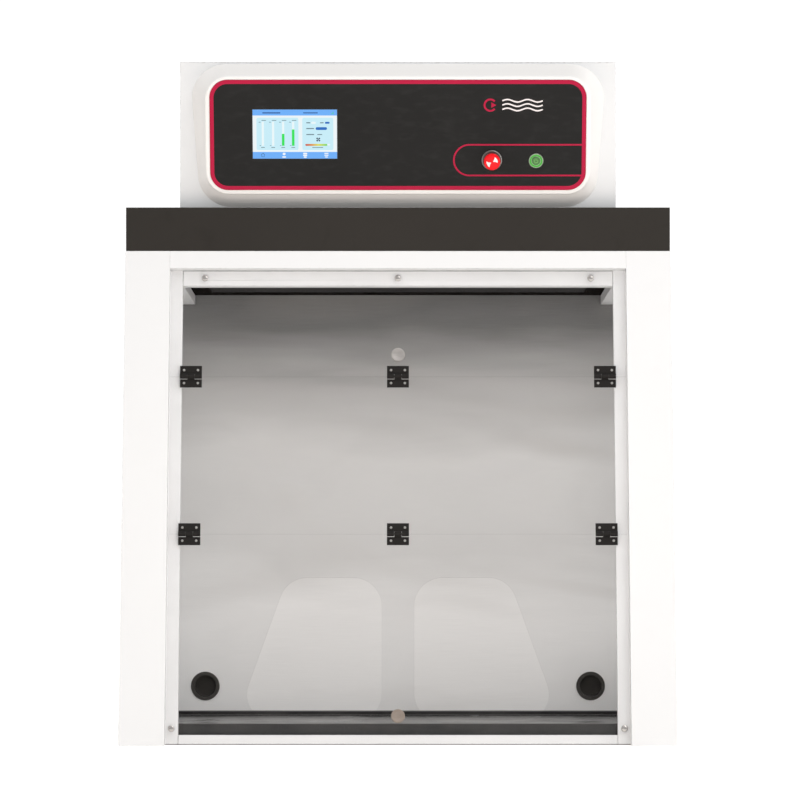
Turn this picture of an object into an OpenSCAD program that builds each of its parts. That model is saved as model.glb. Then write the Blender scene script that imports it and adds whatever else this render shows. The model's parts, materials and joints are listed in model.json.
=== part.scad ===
// Benchtop filtering fume hood: raked three-part acrylic front, carbon filter band,
// blower head with a drafted control pod. Origin: bottom centre, front towards -Y, +Z up.

/* [Cabinet] */
// Overall width of the cabinet
body_w = 1000; // [820:10:1300]
// Overall depth of the cabinet at its base
body_d = 620; // [540:10:800]
// Height of the chamber part, up to the filter band
body_h = 893; // [760:1:1100]
// How far the top of the front face stands behind its foot
front_setback = 168; // [80:1:220]
// Thickness of the folded steel sheet
sheet_t = 2; // [1.5:0.1:3]
// Width of each front post, the folded front edge of a side panel
post_w = 82; // [60:1:110]
// Visible margin of steel around each side window
window_margin = 62; // [45:1:90]
// Thickness of the acrylic sheets
acrylic_t = 5; // [4:0.5:8]
// Distance from the rear edge to the inner face of the back wall
back_gap = 30; // [25:1:60]

/* [Front frame] */
// Depth of the acrylic front face behind the post face
sash_recess = 16; // [14:0.5:30]
// Visible width of the frame strips beside the sash opening
strip_w = 23; // [16:0.5:30]
// Height of the header panel along the slope
header_h = 32.6; // [24:0.2:50]
// Height of the clamp bar under the header, along the slope
cross_bar_h = 28; // [22:0.5:40]
// Depth of the clamp bar
cross_bar_d = 16; // [12:0.5:20]
// Top of the bottom rail along the slope
rail_top = 22; // [15:0.5:30]

/* [Sash] */
// Slope distance from the foot to the upper hinge line
upper_hinge_v = 676.5; // [600:0.5:700]
// Slope distance from the foot to the lower hinge line
lower_hinge_v = 385.5; // [370:0.5:420]
// Gap between neighbouring sash panels
panel_gap = 1; // [0.6:0.1:2]
// Slope distance from the foot to the lowest acrylic edge
sash_bottom_v = 6; // [4:0.5:12]
// Side clearance between the sash and each post
sash_side_gap = 2; // [1:0.5:5]
// Radius of the hinge barrels
barrel_r = 4.5; // [4:0.1:5]
// Radius of the hinge pins
pin_r = 2; // [1.5:0.1:2.5]
// Running clearance between a pin and a turning knuckle
pin_play = 0.05; // [0.02:0.01:0.1]
// Width and height of an open hinge
hinge_size = 40; // [34:1:50]
// Distance of the outer hinges from the middle one
hinge_pitch = 378; // [280:1:400]
// Diameter of the pull knob and of the magnet it folds onto
knob_d = 25; // [18:1:32]
// Slope distance from the foot to the centre of the pull knob
knob_v = 54.5; // [50:0.5:60]

/* [Hand ports] */
// Distance of each port's straight side from the middle
port_inner_x = 29.6; // [24:0.2:40]
// Width of a port at its sill, before its corners are rounded
port_sill_w = 263; // [220:1:275]
// Width of a port at its head, before its corners are rounded
port_head_w = 170.5; // [140:0.5:200]
// Slope distance from the foot to the sill of the ports
port_sill_v = 44.7; // [40:0.1:60]
// Height of the ports along the slope
port_h = 262; // [200:1:280]
// Corner radius of the ports
port_r = 51; // [30:1:60]

/* [Worktop] */
// Height of the working surface
floor_z = 10; // [8:0.5:16]
// Height of the front curb
curb_z = 36.6; // [24:0.1:37]
// Depth of the front curb
curb_d = 20; // [12:1:30]
// Height of the side and rear upstands
upstand_z = 17.3; // [14:0.1:24]
// Diameter of the cable ports
cable_port_d = 56; // [40:1:70]
// Distance of the cable ports from the middle
cable_port_x = 375.5; // [300:0.5:390]
// Height of the cable ports
cable_port_z = 64.6; // [55:0.1:120]

/* [Filters] */
// Height of the filter band
band_h = 80; // [60:1:110]
// Rise of the pre-filter deck towards the front
deck_angle = 3.2; // [0:0.1:4]
// Depth of the deck's side rails
deck_rail_h = 18; // [12:1:24]
// Thickness of the pre-filter pad
prefilter_t = 12; // [8:1:16]

/* [Head] */
// Width of the blower head
head_w = 805; // [740:5:960]
// Height of the blower head
head_h = 272; // [262:1:320]
// Distance of the head's front face behind the band's front face
head_front_gap = 48; // [40:1:90]
// Distance of the head's rear face ahead of the cabinet's rear
head_rear_gap = 25; // [10:1:60]
// Radius of the blower wheel
wheel_r = 140; // [110:1:150]
// Radius of the exhaust opening
exhaust_r = 118; // [90:1:130]

/* [Control pod] */
// Width of the pod's front rim
pod_w = 708; // [690:2:730]
// Height of the pod's front rim
pod_h = 219.6; // [210:0.2:225]
// Forward tilt of the pod's face
pod_tilt = 13.45; // [8:0.05:16]
// Distance from the head's face to the centre of the pod's face
pod_depth = 50.4; // [46:0.2:60]
// Width of the control overlay
overlay_w = 690; // [660:1:690]
// Height of the control overlay
overlay_h = 203.8; // [190:0.2:204]
// Width of the red trim line round the overlay
trim_w = 7.5; // [4:0.5:12]
// Width of the display window
display_w = 156.4; // [120:0.2:180]
// Height of the display window
display_h = 92.4; // [70:0.2:110]
// Diameter of the emergency stop's mushroom head
estop_d = 30.5; // [26:0.5:36]
// Travel of the emergency stop
estop_travel = 4; // [3:0.5:4]
// Diameter of the power button's collar
power_d = 27; // [22:0.5:32]
// Travel of the power button
power_travel = 2.5; // [1.5:0.5:2.5]

/* [Hidden] */
$fn = 64;
facet_fn = 40;
big = 3000;

// colours
WHITE = [0.95, 0.95, 0.94];
LIGHT_GREY = [0.80, 0.80, 0.79];
STEEL = [0.72, 0.73, 0.74];
DARK = [0.20, 0.19, 0.17];
BLACK = [0.07, 0.07, 0.07];
CLEAR = [0.80, 0.84, 0.86, 0.35];
RED = [0.78, 0.06, 0.18];
GREEN = [0.20, 0.62, 0.22];
MEDIA = [0.30, 0.31, 0.32];

// clearances
seat_gap = 0.5;
hole_play = 0.1;
slide_play = 0.3;

// raked front
rake = atan(front_setback / body_h);
slope_len = body_h / cos(rake);
post_in_x = body_w / 2 - post_w;
sash_w = 2 * (post_in_x - sash_side_gap);
sash_back = sash_recess + acrylic_t;
strip_y = sash_back + seat_gap;
strip_t = 2.5;
strip_in_x = post_in_x - strip_w;
strip_flange = 22;
strip_return = 12;
strip_back = strip_y + strip_t + strip_return;
header_v = slope_len - header_h;
foot_z = 1.2;
gap = 0.5;

// sash
axis_y = sash_recess - barrel_r - 0.4;
leaf_t = 2;
leaf_half = hinge_size / 2;
knuckle_half = 6.8;
knuckle_gap = 0.2;
notch_half = barrel_r + 0.7;
hinge_screw_x = 12.6;
hinge_screw_v = 12;
hinge_screw_r = 1.5;
leaf_screw_r = 2.6;
leaf_screw_head = 1.1;
leaf_nut_t = 2;
knob_edge = 0.8;
knob_nut_r = 5;
knob_nut_t = 3;
knob_t = barrel_r - 0.1;
knob_post_r = 3;
magnet_v = 2 * lower_hinge_v - knob_v;
stud_x = post_in_x - strip_w / 2 + 0.5;
stud_v = 33;
dome_r = 6;
dome_h = 2.6;
dome_shank_r = 2;
clamp_screw_x = 354;
clamp_screw_v = header_v - 15.5;

// sides and back
side_x = body_w / 2;
rear_y = body_d / 2;
front_y = -body_d / 2;
wall_y = rear_y - back_gap;
rear_flange_w = 60;
edge_flange = 28;
window_lap = 20;
window_x = side_x - sheet_t - acrylic_t;
wall_half = window_x - gap;
window_r = 14;

// worktop
pan_half = side_x - edge_flange - 4;
pan_t = 4;
pan_gap = 2.5;
pan_front_y = face_y(strip_back, pan_t) + pan_gap;
worktop_half = window_x - 3;
curb_gap = 1.5;
curb_y = face_y(strip_back, curb_z) + curb_gap;
worktop_corner_r = 12;
upstand_d = 17.5;
upstand_w = 28;
port_wall = 3;
port_flange_t = 2;
port_step = 4;
port_back_gap = 4;

// filter deck
deck_z = body_h - 67;
deck_len = wall_y - gap - (front_y + front_setback + 34);
deck_t = 2;
deck_open_half = strip_in_x - 35;
deck_border = 40;

// filter band
band_inset = 1;
band_front_y = front_y + front_setback + 2;
band_z = body_h;
band_top = body_h + band_h;
band_lip = 36;
media_half = body_w / 2 - 60;
media_y0 = band_front_y + 40;
media_y1 = rear_y - 50;
gasket_t = 6;
gasket_w = 12;

// head
head_y0 = band_front_y + head_front_gap;
head_y1 = rear_y - head_rear_gap;
head_mid_y = (head_y0 + head_y1) / 2;
head_half = head_w / 2;
head_top = band_top + head_h;
plate_z = band_top + 12;
wheel_z = plate_z + 28;
wheel_h = 80;
wheel_plate_t = 2.5;
eye_share = 0.66;
throat_share = 0.56;
hub_h = 32;
ring_t = 2.5;
blade_count = 7;
shaft_r = 6;
motor_r = 62;
motor_h = 70;
motor_z = wheel_z + wheel_h + 8;
bracket_half = wheel_r + 22;
bracket_w = 70;
bracket_t = 4;
guard_step = 11;
guard_bar = 2.6;

// pod
pod_z = band_top + 131;
pod_y = head_y0 - pod_depth;
pod_r = 43;
pod_wall = 3;
pod_base_top_half = head_half - 22;
pod_base_low_half = head_half - 33;
pod_base_z0 = band_top + 3.5;
pod_base_z1 = head_top - 4.5;
pod_base_r = 62;
pod_slice = 0.6;
cut_front = 5;
pod_cut_d = 40;
pod_core_side = 42;
pod_core_low = 30;
pod_core_top = 45;
pod_open_side = 75;
pod_open_low = 32;
pod_open_top = 45;
media_ledge = 20;
overlay_w0 = 1.5;
overlay_r = 33;
overlay_t = 2.5;
overlay_out = 0.4;
trim_t = 0.5;
ring_line = 3;
display_x = -189;
display_v = 3.4;
capsule_x0 = 101.2;
capsule_v0 = -74.8;
capsule_v1 = -14.8;
estop_x = 172.4;
estop_v = -45;
power_x = 253.6;
power_v = -46;
estop_barrel_r = 11;
estop_collar_r = 18.8;
estop_collar_t = 3;
estop_stem_r = 6.2;
estop_head_t = 15;
power_barrel_r = 10;
power_cap_r = 7.6;
barrel_depth = 26;
estop_depth = 34;
estop_dome_r = 58;
power_collar_t = 2.2;
power_sunk = 0.1;
power_cap_out = power_collar_t + power_travel - power_sunk;
pod_front = -overlay_out - trim_t;

// Frame of the raked front: x across, y inwards from the post face, z up the slope
module raked() {
    translate([0, front_y, 0]) rotate([-rake, 0, 0]) children();
}

// Frame of the pod's face: x across, y inwards from the face, z up the face
module pod_frame() {
    translate([0, pod_y, pod_z]) rotate([pod_tilt, 0, 0]) children();
}

// Frame of the pre-filter deck: origin at its rear edge, -y towards the front
module deck_frame() {
    translate([0, wall_y - gap, deck_z]) rotate([-deck_angle, 0, 0]) children();
}

// Y of the plane that lies a depth behind the raked face, at a height
function face_y(depth, z) = front_y + z * tan(rake) + depth / cos(rake);

// Axis aligned block from one corner to the other
module block(low, high) {
    translate(low) cube(high - low);
}

// Keeps only what lies between two heights
module between(z0, z1) {
    intersection() {
        children();
        block([-big, -big, z0], [big, big, z1]);
    }
}

// Copies on both sides of the middle plane
module both_sides() {
    children();
    mirror([1, 0, 0]) children();
}

// One side of the machine: -1 left, 1 right
module on_side(side) {
    if (side > 0) children();
    else mirror([1, 0, 0]) children();
}

// Outward unit normal of an edge of an anticlockwise outline
function edge_normal(a, b) = [b[1] - a[1], a[0] - b[0]] / norm(b - a);

// Convex outline grown by r round anticlockwise corner centres, with exact arcs
module rounded_outline(centres, r) {
    count = len(centres);
    polygon([
        for (i = [0 : count - 1], end = [0, 1])
            let (a = centres[i], b = centres[(i + 1) % count])
            (end == 0 ? a : b) + r * edge_normal(a, b)
    ]);
    for (c = centres) translate(c) circle(r);
}

// Rounded rectangle centred on the origin
module rounded_rect(w, h, r) {
    x = w / 2 - r;
    y = h / 2 - r;
    rounded_outline([[-x, -y], [x, -y], [x, y], [-x, y]], r);
}

// Stands a flat outline up: outline x across, outline y up, thick from y0 to y1
module upright(y0, y1) {
    translate([0, y1, 0]) rotate([90, 0, 0]) linear_extrude(y1 - y0) children();
}

// Rod along y from y0 to y1
module rod(x, z, r, y0, y1) {
    translate([x, y1, z]) rotate([90, 0, 0]) cylinder(r = r, h = y1 - y0);
}

// Side outline extruded across the width, outline x along Y and outline y along Z
module sideways(x0, x1) {
    translate([x0, 0, 0]) rotate([90, 0, 90]) linear_extrude(x1 - x0) children();
}

// ---------------------------------------------------------------- cabinet

// Rake of the front edge per unit of height
function rake_y(z) = front_y + front_setback * z / body_h;

// Side outline moved in by a margin, as its four corners
function side_corners(m) = [
    [rake_y(m + 8) + m, m + 8], [rear_y - m, m + 8],
    [rear_y - m, body_h - m], [rake_y(body_h - m) + m, body_h - m]
];

module base_pan() {
    color(DARK) {
        block([-pan_half, pan_front_y, 0], [pan_half, rear_y - sheet_t - 1, pan_t]);
        block([-post_in_x, front_y + strip_y + 1, 0], [post_in_x, pan_front_y, foot_z - 0.2]);
    }
}

module worktop() {
    back = wall_y - gap;
    color(BLACK) difference() {
        union() {
            block([-worktop_half, curb_y, pan_t], [worktop_half, back, upstand_z]);
            block([-worktop_half, curb_y, pan_t], [worktop_half, curb_y + curb_d, curb_z]);
        }
        inner = worktop_half - upstand_w;
        translate([0, (curb_y + curb_d + back - upstand_d) / 2, floor_z])
            linear_extrude(big)
                rounded_rect(2 * inner, back - upstand_d - curb_y - curb_d, worktop_corner_r);
    }
}

module side_panel(side) {
    color(WHITE) on_side(side) {
        difference() {
            sideways(side_x - sheet_t, side_x) polygon(side_corners_outer());
            sideways(side_x - 2 * sheet_t, side_x + sheet_t)
                rounded_outline(side_corners(window_margin + window_r), window_r);
        }
        between(0, body_h) raked() {
            block([post_in_x, 0, -big], [side_x - sheet_t, sheet_t, big]);
            block([post_in_x, sheet_t, -big], [post_in_x + sheet_t, sash_back, big]);
        }
        block([side_x - rear_flange_w, rear_y - sheet_t, 0], [side_x - sheet_t, rear_y, body_h]);
        block([side_x - edge_flange, front_y + 30, 0],
            [side_x - sheet_t, rear_y - sheet_t, sheet_t]);
        block([side_x - edge_flange, rake_y(body_h) + 30, body_h - sheet_t],
            [side_x - sheet_t, rear_y - sheet_t, body_h]);
    }
}

function side_corners_outer() = [
    [front_y, 0], [rear_y, 0], [rear_y, body_h], [rake_y(body_h), body_h]
];

module side_window(side) {
    lap = window_margin - window_lap;
    color(CLEAR) on_side(side)
        sideways(window_x, side_x - sheet_t)
            rounded_outline(side_corners(lap + window_r), window_r);
}

module back_wall() {
    top = body_h - sheet_t;
    color(STEEL) difference() {
        union() {
            block([-wall_half, wall_y, pan_t], [wall_half, wall_y + sheet_t, top]);
            both_sides()
                block([wall_half - sheet_t, wall_y, pan_t], [wall_half, rear_y - sheet_t, top]);
            for (z = [pan_t, top - sheet_t])
                block([-wall_half, wall_y, z], [wall_half, rear_y - sheet_t, z + sheet_t]);
        }
        both_sides()
            rod(cable_port_x, cable_port_z, cable_port_d / 2 - port_step + hole_play,
                wall_y - 1, wall_y + sheet_t + 1);
    }
}

module cable_port(side) {
    r = cable_port_d / 2;
    depth = back_gap - port_back_gap;
    color(BLACK) on_side(side) difference() {
        union() {
            rod(cable_port_x, cable_port_z, r, wall_y - port_flange_t, wall_y);
            rod(cable_port_x, cable_port_z, r - port_step, wall_y, wall_y + depth);
        }
        rod(cable_port_x, cable_port_z, r - 4 - port_wall,
            wall_y - port_flange_t - 1, wall_y + depth - port_wall);
    }
}

// ---------------------------------------------------------------- front frame

module header_panel() {
    color(WHITE) between(0, body_h) raked() {
        block([-post_in_x, 0, header_v], [post_in_x, sheet_t, big]);
        block([-post_in_x, sheet_t, header_v], [post_in_x, sash_back, header_v + sheet_t]);
    }
}

module frame_strip(side) {
    color(LIGHT_GREY) on_side(side) between(foot_z, body_h - sheet_t) raked() {
        block([strip_in_x, strip_y, -big], [post_in_x + strip_flange, strip_y + strip_t, big]);
        block([strip_in_x, strip_y + strip_t, -big],
            [strip_in_x + strip_t, strip_y + strip_t + strip_return, big]);
    }
}

module cross_bar() {
    half = strip_in_x - gap;
    color(LIGHT_GREY) raked() difference() {
        block([-half, strip_y, header_v - cross_bar_h],
            [half, strip_y + cross_bar_d, header_v - gap]);
        block([-half - 1, strip_y + strip_t, header_v - cross_bar_h + strip_t],
            [half + 1, strip_y + cross_bar_d + 1, header_v - gap - strip_t]);
        for (x = [-clamp_screw_x, 0, clamp_screw_x])
            rod(x, clamp_screw_v, dome_shank_r + hole_play, strip_y - 1, strip_y + strip_t + 1);
    }
}

module bottom_rail() {
    half = strip_in_x - gap;
    color(LIGHT_GREY) between(foot_z, body_h) raked() {
        block([-half, strip_y, -big], [half, strip_y + strip_t, rail_top]);
        block([-half, strip_y + strip_t, rail_top - strip_t],
            [half, strip_y + strip_t + strip_return, rail_top]);
    }
}

// ---------------------------------------------------------------- filters

module deck_rail(side) {
    web = 3;
    color(LIGHT_GREY) on_side(side) deck_frame() {
        block([strip_in_x, -deck_len, -deck_rail_h], [strip_in_x + web, -2, 0]);
        block([strip_in_x + web, -deck_len, -deck_rail_h], [wall_half, -2, web - deck_rail_h]);
    }
}

module ceiling_deck() {
    color(BLACK) deck_frame() difference() {
        block([-wall_half, -deck_len, 0], [wall_half, -2, deck_t]);
        block([-deck_open_half, deck_border - deck_len, -1],
            [deck_open_half, -deck_border, deck_t + 1]);
    }
}

module prefilter() {
    lap = 12;
    color(MEDIA) deck_frame()
        block([-deck_open_half - lap, deck_border - lap - deck_len, deck_t],
            [deck_open_half + lap, lap - deck_border, deck_t + prefilter_t]);
}

module filter_housing() {
    half = body_w / 2 - band_inset;
    color(DARK) difference() {
        block([-half, band_front_y, band_z], [half, rear_y, band_top]);
        block([sheet_t - half, band_front_y + sheet_t, band_z + sheet_t],
            [half - sheet_t, rear_y - sheet_t, band_top - sheet_t]);
        block([-media_half + media_ledge, media_y0 + media_ledge, band_z - 1],
            [media_half - media_ledge, media_y1 - media_ledge, band_z + sheet_t + 1]);
        block([-head_half + band_lip, head_y0 + band_lip, band_top - sheet_t - 1],
            [head_half - band_lip, head_y1 - band_lip, band_top + 1]);
    }
}

module carbon_filter() {
    z0 = band_z + sheet_t;
    z1 = band_top - sheet_t - gasket_t;
    rim = 14;
    color(MEDIA) difference() {
        block([-media_half, media_y0, z0], [media_half, media_y1, z1]);
        block([rim - media_half, media_y0 + rim, z1 - 6],
            [media_half - rim, media_y1 - rim, z1 + 1]);
    }
}

module filter_gasket() {
    z1 = band_top - sheet_t;
    color(BLACK) difference() {
        block([-media_half, media_y0, z1 - gasket_t], [media_half, media_y1, z1]);
        block([gasket_w - media_half, media_y0 + gasket_w, z1 - gasket_t - 1],
            [media_half - gasket_w, media_y1 - gasket_w, z1 + 1]);
    }
}

// ---------------------------------------------------------------- head

module head_shell() {
    color(WHITE) difference() {
        block([-head_half, head_y0, band_top], [head_half, head_y1, head_top - sheet_t]);
        block([sheet_t - head_half, head_y0 + sheet_t, band_top - 1],
            [head_half - sheet_t, head_y1 - sheet_t, head_top]);
        block([-head_half + pod_open_side, head_y0 - 1, band_top + pod_open_low],
            [head_half - pod_open_side, head_y0 + sheet_t + 1, head_top - pod_open_top]);
        inlet_cut();
    }
}

module head_cover() {
    lip = 14;
    inner = head_half - sheet_t - hole_play;
    y0 = head_y0 + sheet_t + hole_play;
    y1 = head_y1 - sheet_t - hole_play;
    color(WHITE) difference() {
        union() {
            block([-head_half, head_y0, head_top - sheet_t], [head_half, head_y1, head_top]);
            difference() {
                block([-inner, y0, head_top - lip], [inner, y1, head_top - sheet_t]);
                block([sheet_t - inner, y0 + sheet_t, head_top - lip - 1],
                    [inner - sheet_t, y1 - sheet_t, head_top]);
            }
        }
        translate([0, head_mid_y, head_top - lip - 1]) cylinder(r = exhaust_r, h = lip + 2);
    }
}

module exhaust_guard() {
    t = 3;
    flange = 10;
    color(STEEL) translate([0, head_mid_y, 0]) {
        translate([0, 0, head_top - sheet_t - t]) difference() {
            cylinder(r = exhaust_r + flange, h = t);
            translate([0, 0, -1]) cylinder(r = exhaust_r - guard_bar, h = t + 2);
        }
        for (r = [guard_step : guard_step : exhaust_r - guard_step / 2])
            translate([0, 0, head_top - t]) difference() {
                cylinder(r = r + guard_bar / 2, h = t);
                translate([0, 0, -1]) cylinder(r = r - guard_bar / 2, h = t + 2);
            }
        for (a = [0 : 60 : 120]) rotate([0, 0, a])
            block([-exhaust_r + guard_bar / 2, -2, head_top - sheet_t - t],
                [exhaust_r - guard_bar / 2, 2, head_top - t + 1]);
    }
}

module blower_plate() {
    half = head_half - sheet_t;
    color(STEEL) difference() {
        block([-half, head_y0 + sheet_t, plate_z], [half, head_y1 - sheet_t, plate_z + sheet_t]);
        translate([0, head_mid_y, plate_z - 1]) cylinder(r = wheel_r * eye_share, h = sheet_t + 2);
    }
}

module inlet_ring() {
    mouth_r = wheel_r * eye_share;
    throat_r = wheel_r * throat_share;
    color(STEEL) translate([0, head_mid_y, plate_z + sheet_t]) rotate_extrude() polygon([
        [throat_r, wheel_z - plate_z - 2], [throat_r, 12], [mouth_r - 6, ring_t],
        [mouth_r - 6, 0], [mouth_r + 14, 0], [mouth_r + 14, ring_t], [mouth_r - 3, ring_t],
        [throat_r + ring_t, 13], [throat_r + ring_t, wheel_z - plate_z - 2]
    ]);
}

module impeller() {
    hub_r = 22;
    color(BLACK) translate([0, head_mid_y, wheel_z]) {
        difference() {
            union() {
                translate([0, 0, wheel_h - wheel_plate_t]) cylinder(r = wheel_r, h = wheel_plate_t);
                translate([0, 0, wheel_h - hub_h]) cylinder(r = hub_r, h = hub_h);
            }
            translate([0, 0, wheel_h - 40])
                cylinder(r = shaft_r + 0.02, h = 50);
        }
        difference() {
            cylinder(r = wheel_r, h = wheel_plate_t);
            translate([0, 0, -1]) cylinder(r = wheel_r * 0.6, h = wheel_plate_t + 2);
        }
        for (i = [0 : blade_count - 1]) rotate([0, 0, i * 360 / blade_count])
            translate([0, 0, wheel_plate_t]) linear_extrude(wheel_h - 2 * wheel_plate_t)
                blade_outline();
    }
}

// One backward curved blade: an arc band trimmed by the wheel's inner and outer radii
module blade_outline() {
    curve_r = wheel_r * 0.9;
    centre = [wheel_r * 0.28, -wheel_r * 0.82];
    intersection() {
        difference() {
            translate(centre) circle(curve_r);
            translate(centre) circle(curve_r - 2.5);
        }
        difference() {
            circle(wheel_r - 1);
            circle(wheel_r * 0.62);
        }
        square([wheel_r, wheel_r]);
    }
}

module motor_shaft() {
    color(STEEL) translate([0, head_mid_y, wheel_z + wheel_h - 44])
        cylinder(r = shaft_r, h = motor_z + motor_h - 10 - (wheel_z + wheel_h - 44));
}

module fan_motor() {
    color(STEEL) translate([0, head_mid_y, motor_z]) difference() {
        union() {
            cylinder(r = motor_r, h = motor_h);
            for (z = [12 : 8 : motor_h - 18]) translate([0, 0, z]) cylinder(r = motor_r + 4, h = 3);
        }
        translate([0, 0, -1]) cylinder(r = shaft_r + pin_play, h = motor_h - 8);
    }
}

module motor_bracket() {
    top = motor_z + motor_h;
    color(STEEL) translate([0, head_mid_y, 0]) {
        block([-bracket_half, -bracket_w / 2, top], [bracket_half, bracket_w / 2, top + bracket_t]);
        both_sides() {
            block([bracket_half - bracket_t, -bracket_w / 2, plate_z + sheet_t],
                [bracket_half, bracket_w / 2, top]);
            block([bracket_half, -bracket_w / 2, plate_z + sheet_t],
                [bracket_half + 24, bracket_w / 2, plate_z + sheet_t + bracket_t]);
        }
    }
}

// Place and size of the mains inlet in the head's rear face
inlet_x = head_half - 72;
inlet_z = band_top + 42;
inlet_w = 27.4;
inlet_h = 20;

module inlet_cut() {
    block([-inlet_x - inlet_w / 2 - hole_play, head_y1 - sheet_t - 1, inlet_z - inlet_h / 2 - hole_play],
        [-inlet_x + inlet_w / 2 + hole_play, head_y1 + 1, inlet_z + inlet_h / 2 + hole_play]);
}

module mains_inlet() {
    color(BLACK) difference() {
        union() {
            translate([-inlet_x, 0, inlet_z]) upright(head_y1, head_y1 + 2.5)
                rounded_rect(50, 24, 6);
            block([-inlet_x - inlet_w / 2, head_y1 - 22, inlet_z - inlet_h / 2],
                [-inlet_x + inlet_w / 2, head_y1, inlet_z + inlet_h / 2]);
        }
        block([-inlet_x - inlet_w / 2 + 2, head_y1 - 16, inlet_z - inlet_h / 2 + 2],
            [-inlet_x + inlet_w / 2 - 2, head_y1 + 5, inlet_z + inlet_h / 2 - 2]);
    }
    color(STEEL) for (x = [-7, 0, 7])
        block([-inlet_x + x - 1, head_y1 - 16, inlet_z - 2], [-inlet_x + x + 1, head_y1 - 3, inlet_z + 2]);
}

module power_supply() {
    x0 = bracket_half + 60;
    y0 = head_mid_y - 80;
    z0 = plate_z + sheet_t;
    color(STEEL) difference() {
        block([x0, y0, z0], [x0 + 98, y0 + 160, z0 + 40]);
        for (y = [12 : 10 : 140])
            block([x0 + 12, y0 + y, z0 + 36], [x0 + 70, y0 + y + 4, z0 + 41]);
    }
}

// ---------------------------------------------------------------- control pod

// Drafted pod body between the head's face and the tilted front, moved in by inset
module pod_body(inset) {
    hull() {
        for (corner = [
            [pod_base_top_half, pod_base_z1, -1], [pod_base_low_half, pod_base_z0, 1]
        ], side = [-1, 1])
            translate([
                side * (corner[0] - pod_base_r), head_y0,
                corner[1] + corner[2] * pod_base_r
            ])
                rotate([90, 0, 0])
                    cylinder(r = pod_base_r - inset, h = pod_slice, $fn = facet_fn);
        pod_frame() for (ring = [[0, 3.4], [1.2, 1.4], [4, 0]], sx = [-1, 1], sz = [-1, 1])
            translate([
                sx * (pod_w / 2 - pod_r), ring[0] + inset + pod_slice,
                sz * (pod_h / 2 - pod_r)
            ])
                rotate([90, 0, 0])
                    cylinder(r = pod_r - ring[1] - inset, h = pod_slice, $fn = facet_fn);
    }
}

module pod_bezel() {
    color(WHITE) difference() {
        pod_body(0);
        difference() {
            pod_body(pod_wall + 1);
            block([-big, head_y0 - pod_slice - 1, -big], [big, head_y0 - pod_slice, big]);
        }
        block([-pod_base_low_half + pod_core_side, head_y0 - 12, pod_base_z0 + pod_core_low],
            [pod_base_low_half - pod_core_side, head_y0 + 1, pod_base_z1 - pod_core_top]);
        pod_frame() {
            translate([0, 0, overlay_w0]) upright(-5, overlay_t - overlay_out + 0.01)
                rounded_rect(overlay_w + 2 * hole_play, overlay_h + 2 * hole_play,
                    overlay_r + hole_play);
            block([display_x - display_w / 2 - 2, -cut_front, display_v - display_h / 2 - 2],
                [display_x + display_w / 2 + 2, pod_cut_d, display_v + display_h / 2 + 2]);
            rod(estop_x, estop_v, estop_barrel_r + hole_play, -cut_front, pod_cut_d);
            rod(power_x, power_v, power_barrel_r + hole_play, -cut_front, pod_cut_d);
        }
    }
}

module control_overlay() {
    color(BLACK) pod_frame() difference() {
        translate([0, 0, overlay_w0]) upright(-overlay_out, overlay_t - overlay_out)
            rounded_rect(overlay_w, overlay_h, overlay_r);
        block([display_x - display_w / 2 - hole_play, -cut_front, display_v - display_h / 2 - hole_play],
            [display_x + display_w / 2 + hole_play, cut_front, display_v + display_h / 2 + hole_play]);
        rod(estop_x, estop_v, estop_barrel_r + hole_play, -cut_front, cut_front);
        rod(power_x, power_v, power_barrel_r + hole_play, -cut_front, cut_front);
    }
}

module overlay_trim() {
    edge_x = overlay_w / 2 - trim_w;
    r = (capsule_v1 - capsule_v0) / 2;
    mid = (capsule_v0 + capsule_v1) / 2;
    color(RED) pod_frame() {
        translate([0, 0, overlay_w0]) upright(pod_front, -overlay_out) difference() {
            rounded_rect(overlay_w, overlay_h, overlay_r);
            rounded_rect(2 * edge_x, overlay_h - 2 * trim_w, overlay_r - trim_w);
        }
        upright(pod_front, -overlay_out) difference() {
            capsule(r, mid, edge_x + 2);
            capsule(r - ring_line, mid, edge_x + 4);
        }
    }
}

// Band with a round left end, drawn as far as the overlay's right edge
module capsule(r, mid, x1) {
    translate([capsule_x0 + (capsule_v1 - capsule_v0) / 2, mid]) circle(r);
    translate([capsule_x0 + (capsule_v1 - capsule_v0) / 2, mid - r])
        square([x1 - capsule_x0 - (capsule_v1 - capsule_v0) / 2, 2 * r]);
}

module touch_display() {
    color(BLACK) pod_frame() {
        block([display_x - display_w / 2, -overlay_out - 0.2, display_v - display_h / 2],
            [display_x + display_w / 2, 8, display_v + display_h / 2]);
        block([display_x - display_w / 2 - 1, 8, display_v - display_h / 2 - 1],
            [display_x + display_w / 2 + 1, 16, display_v + display_h / 2 + 1]);
    }
}

module controller_board() {
    y0 = 22;
    color(GREEN) pod_frame() {
        block([display_x - 80, y0, display_v - 46], [display_x + 80, y0 + 1.6, display_v + 46]);
        for (c = [[-40, 20, 14], [10, -12, 9], [48, 18, 12], [40, -26, 7]])
            block([display_x + c[0] - c[2], y0 + 1.6, display_v + c[1] - c[2]],
                [display_x + c[0] + c[2], y0 + 4, display_v + c[1] + c[2]]);
        for (x = [-72, 72], z = [-38, 38])
            rod(display_x + x, display_v + z, 3, 16, y0);
    }
}

module estop_collar() {
    color(STEEL) pod_frame() difference() {
        union() {
            rod(estop_x, estop_v, estop_collar_r, -overlay_out - estop_collar_t, -overlay_out);
            rod(estop_x, estop_v, estop_barrel_r, -overlay_out, estop_depth);
        }
        rod(estop_x, estop_v, estop_stem_r + slide_play, -10, 40);
    }
}

module estop_stem() {
    color(BLACK) pod_frame()
        rod(estop_x, estop_v, estop_stem_r, -overlay_out - 12, 28);
}

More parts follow.
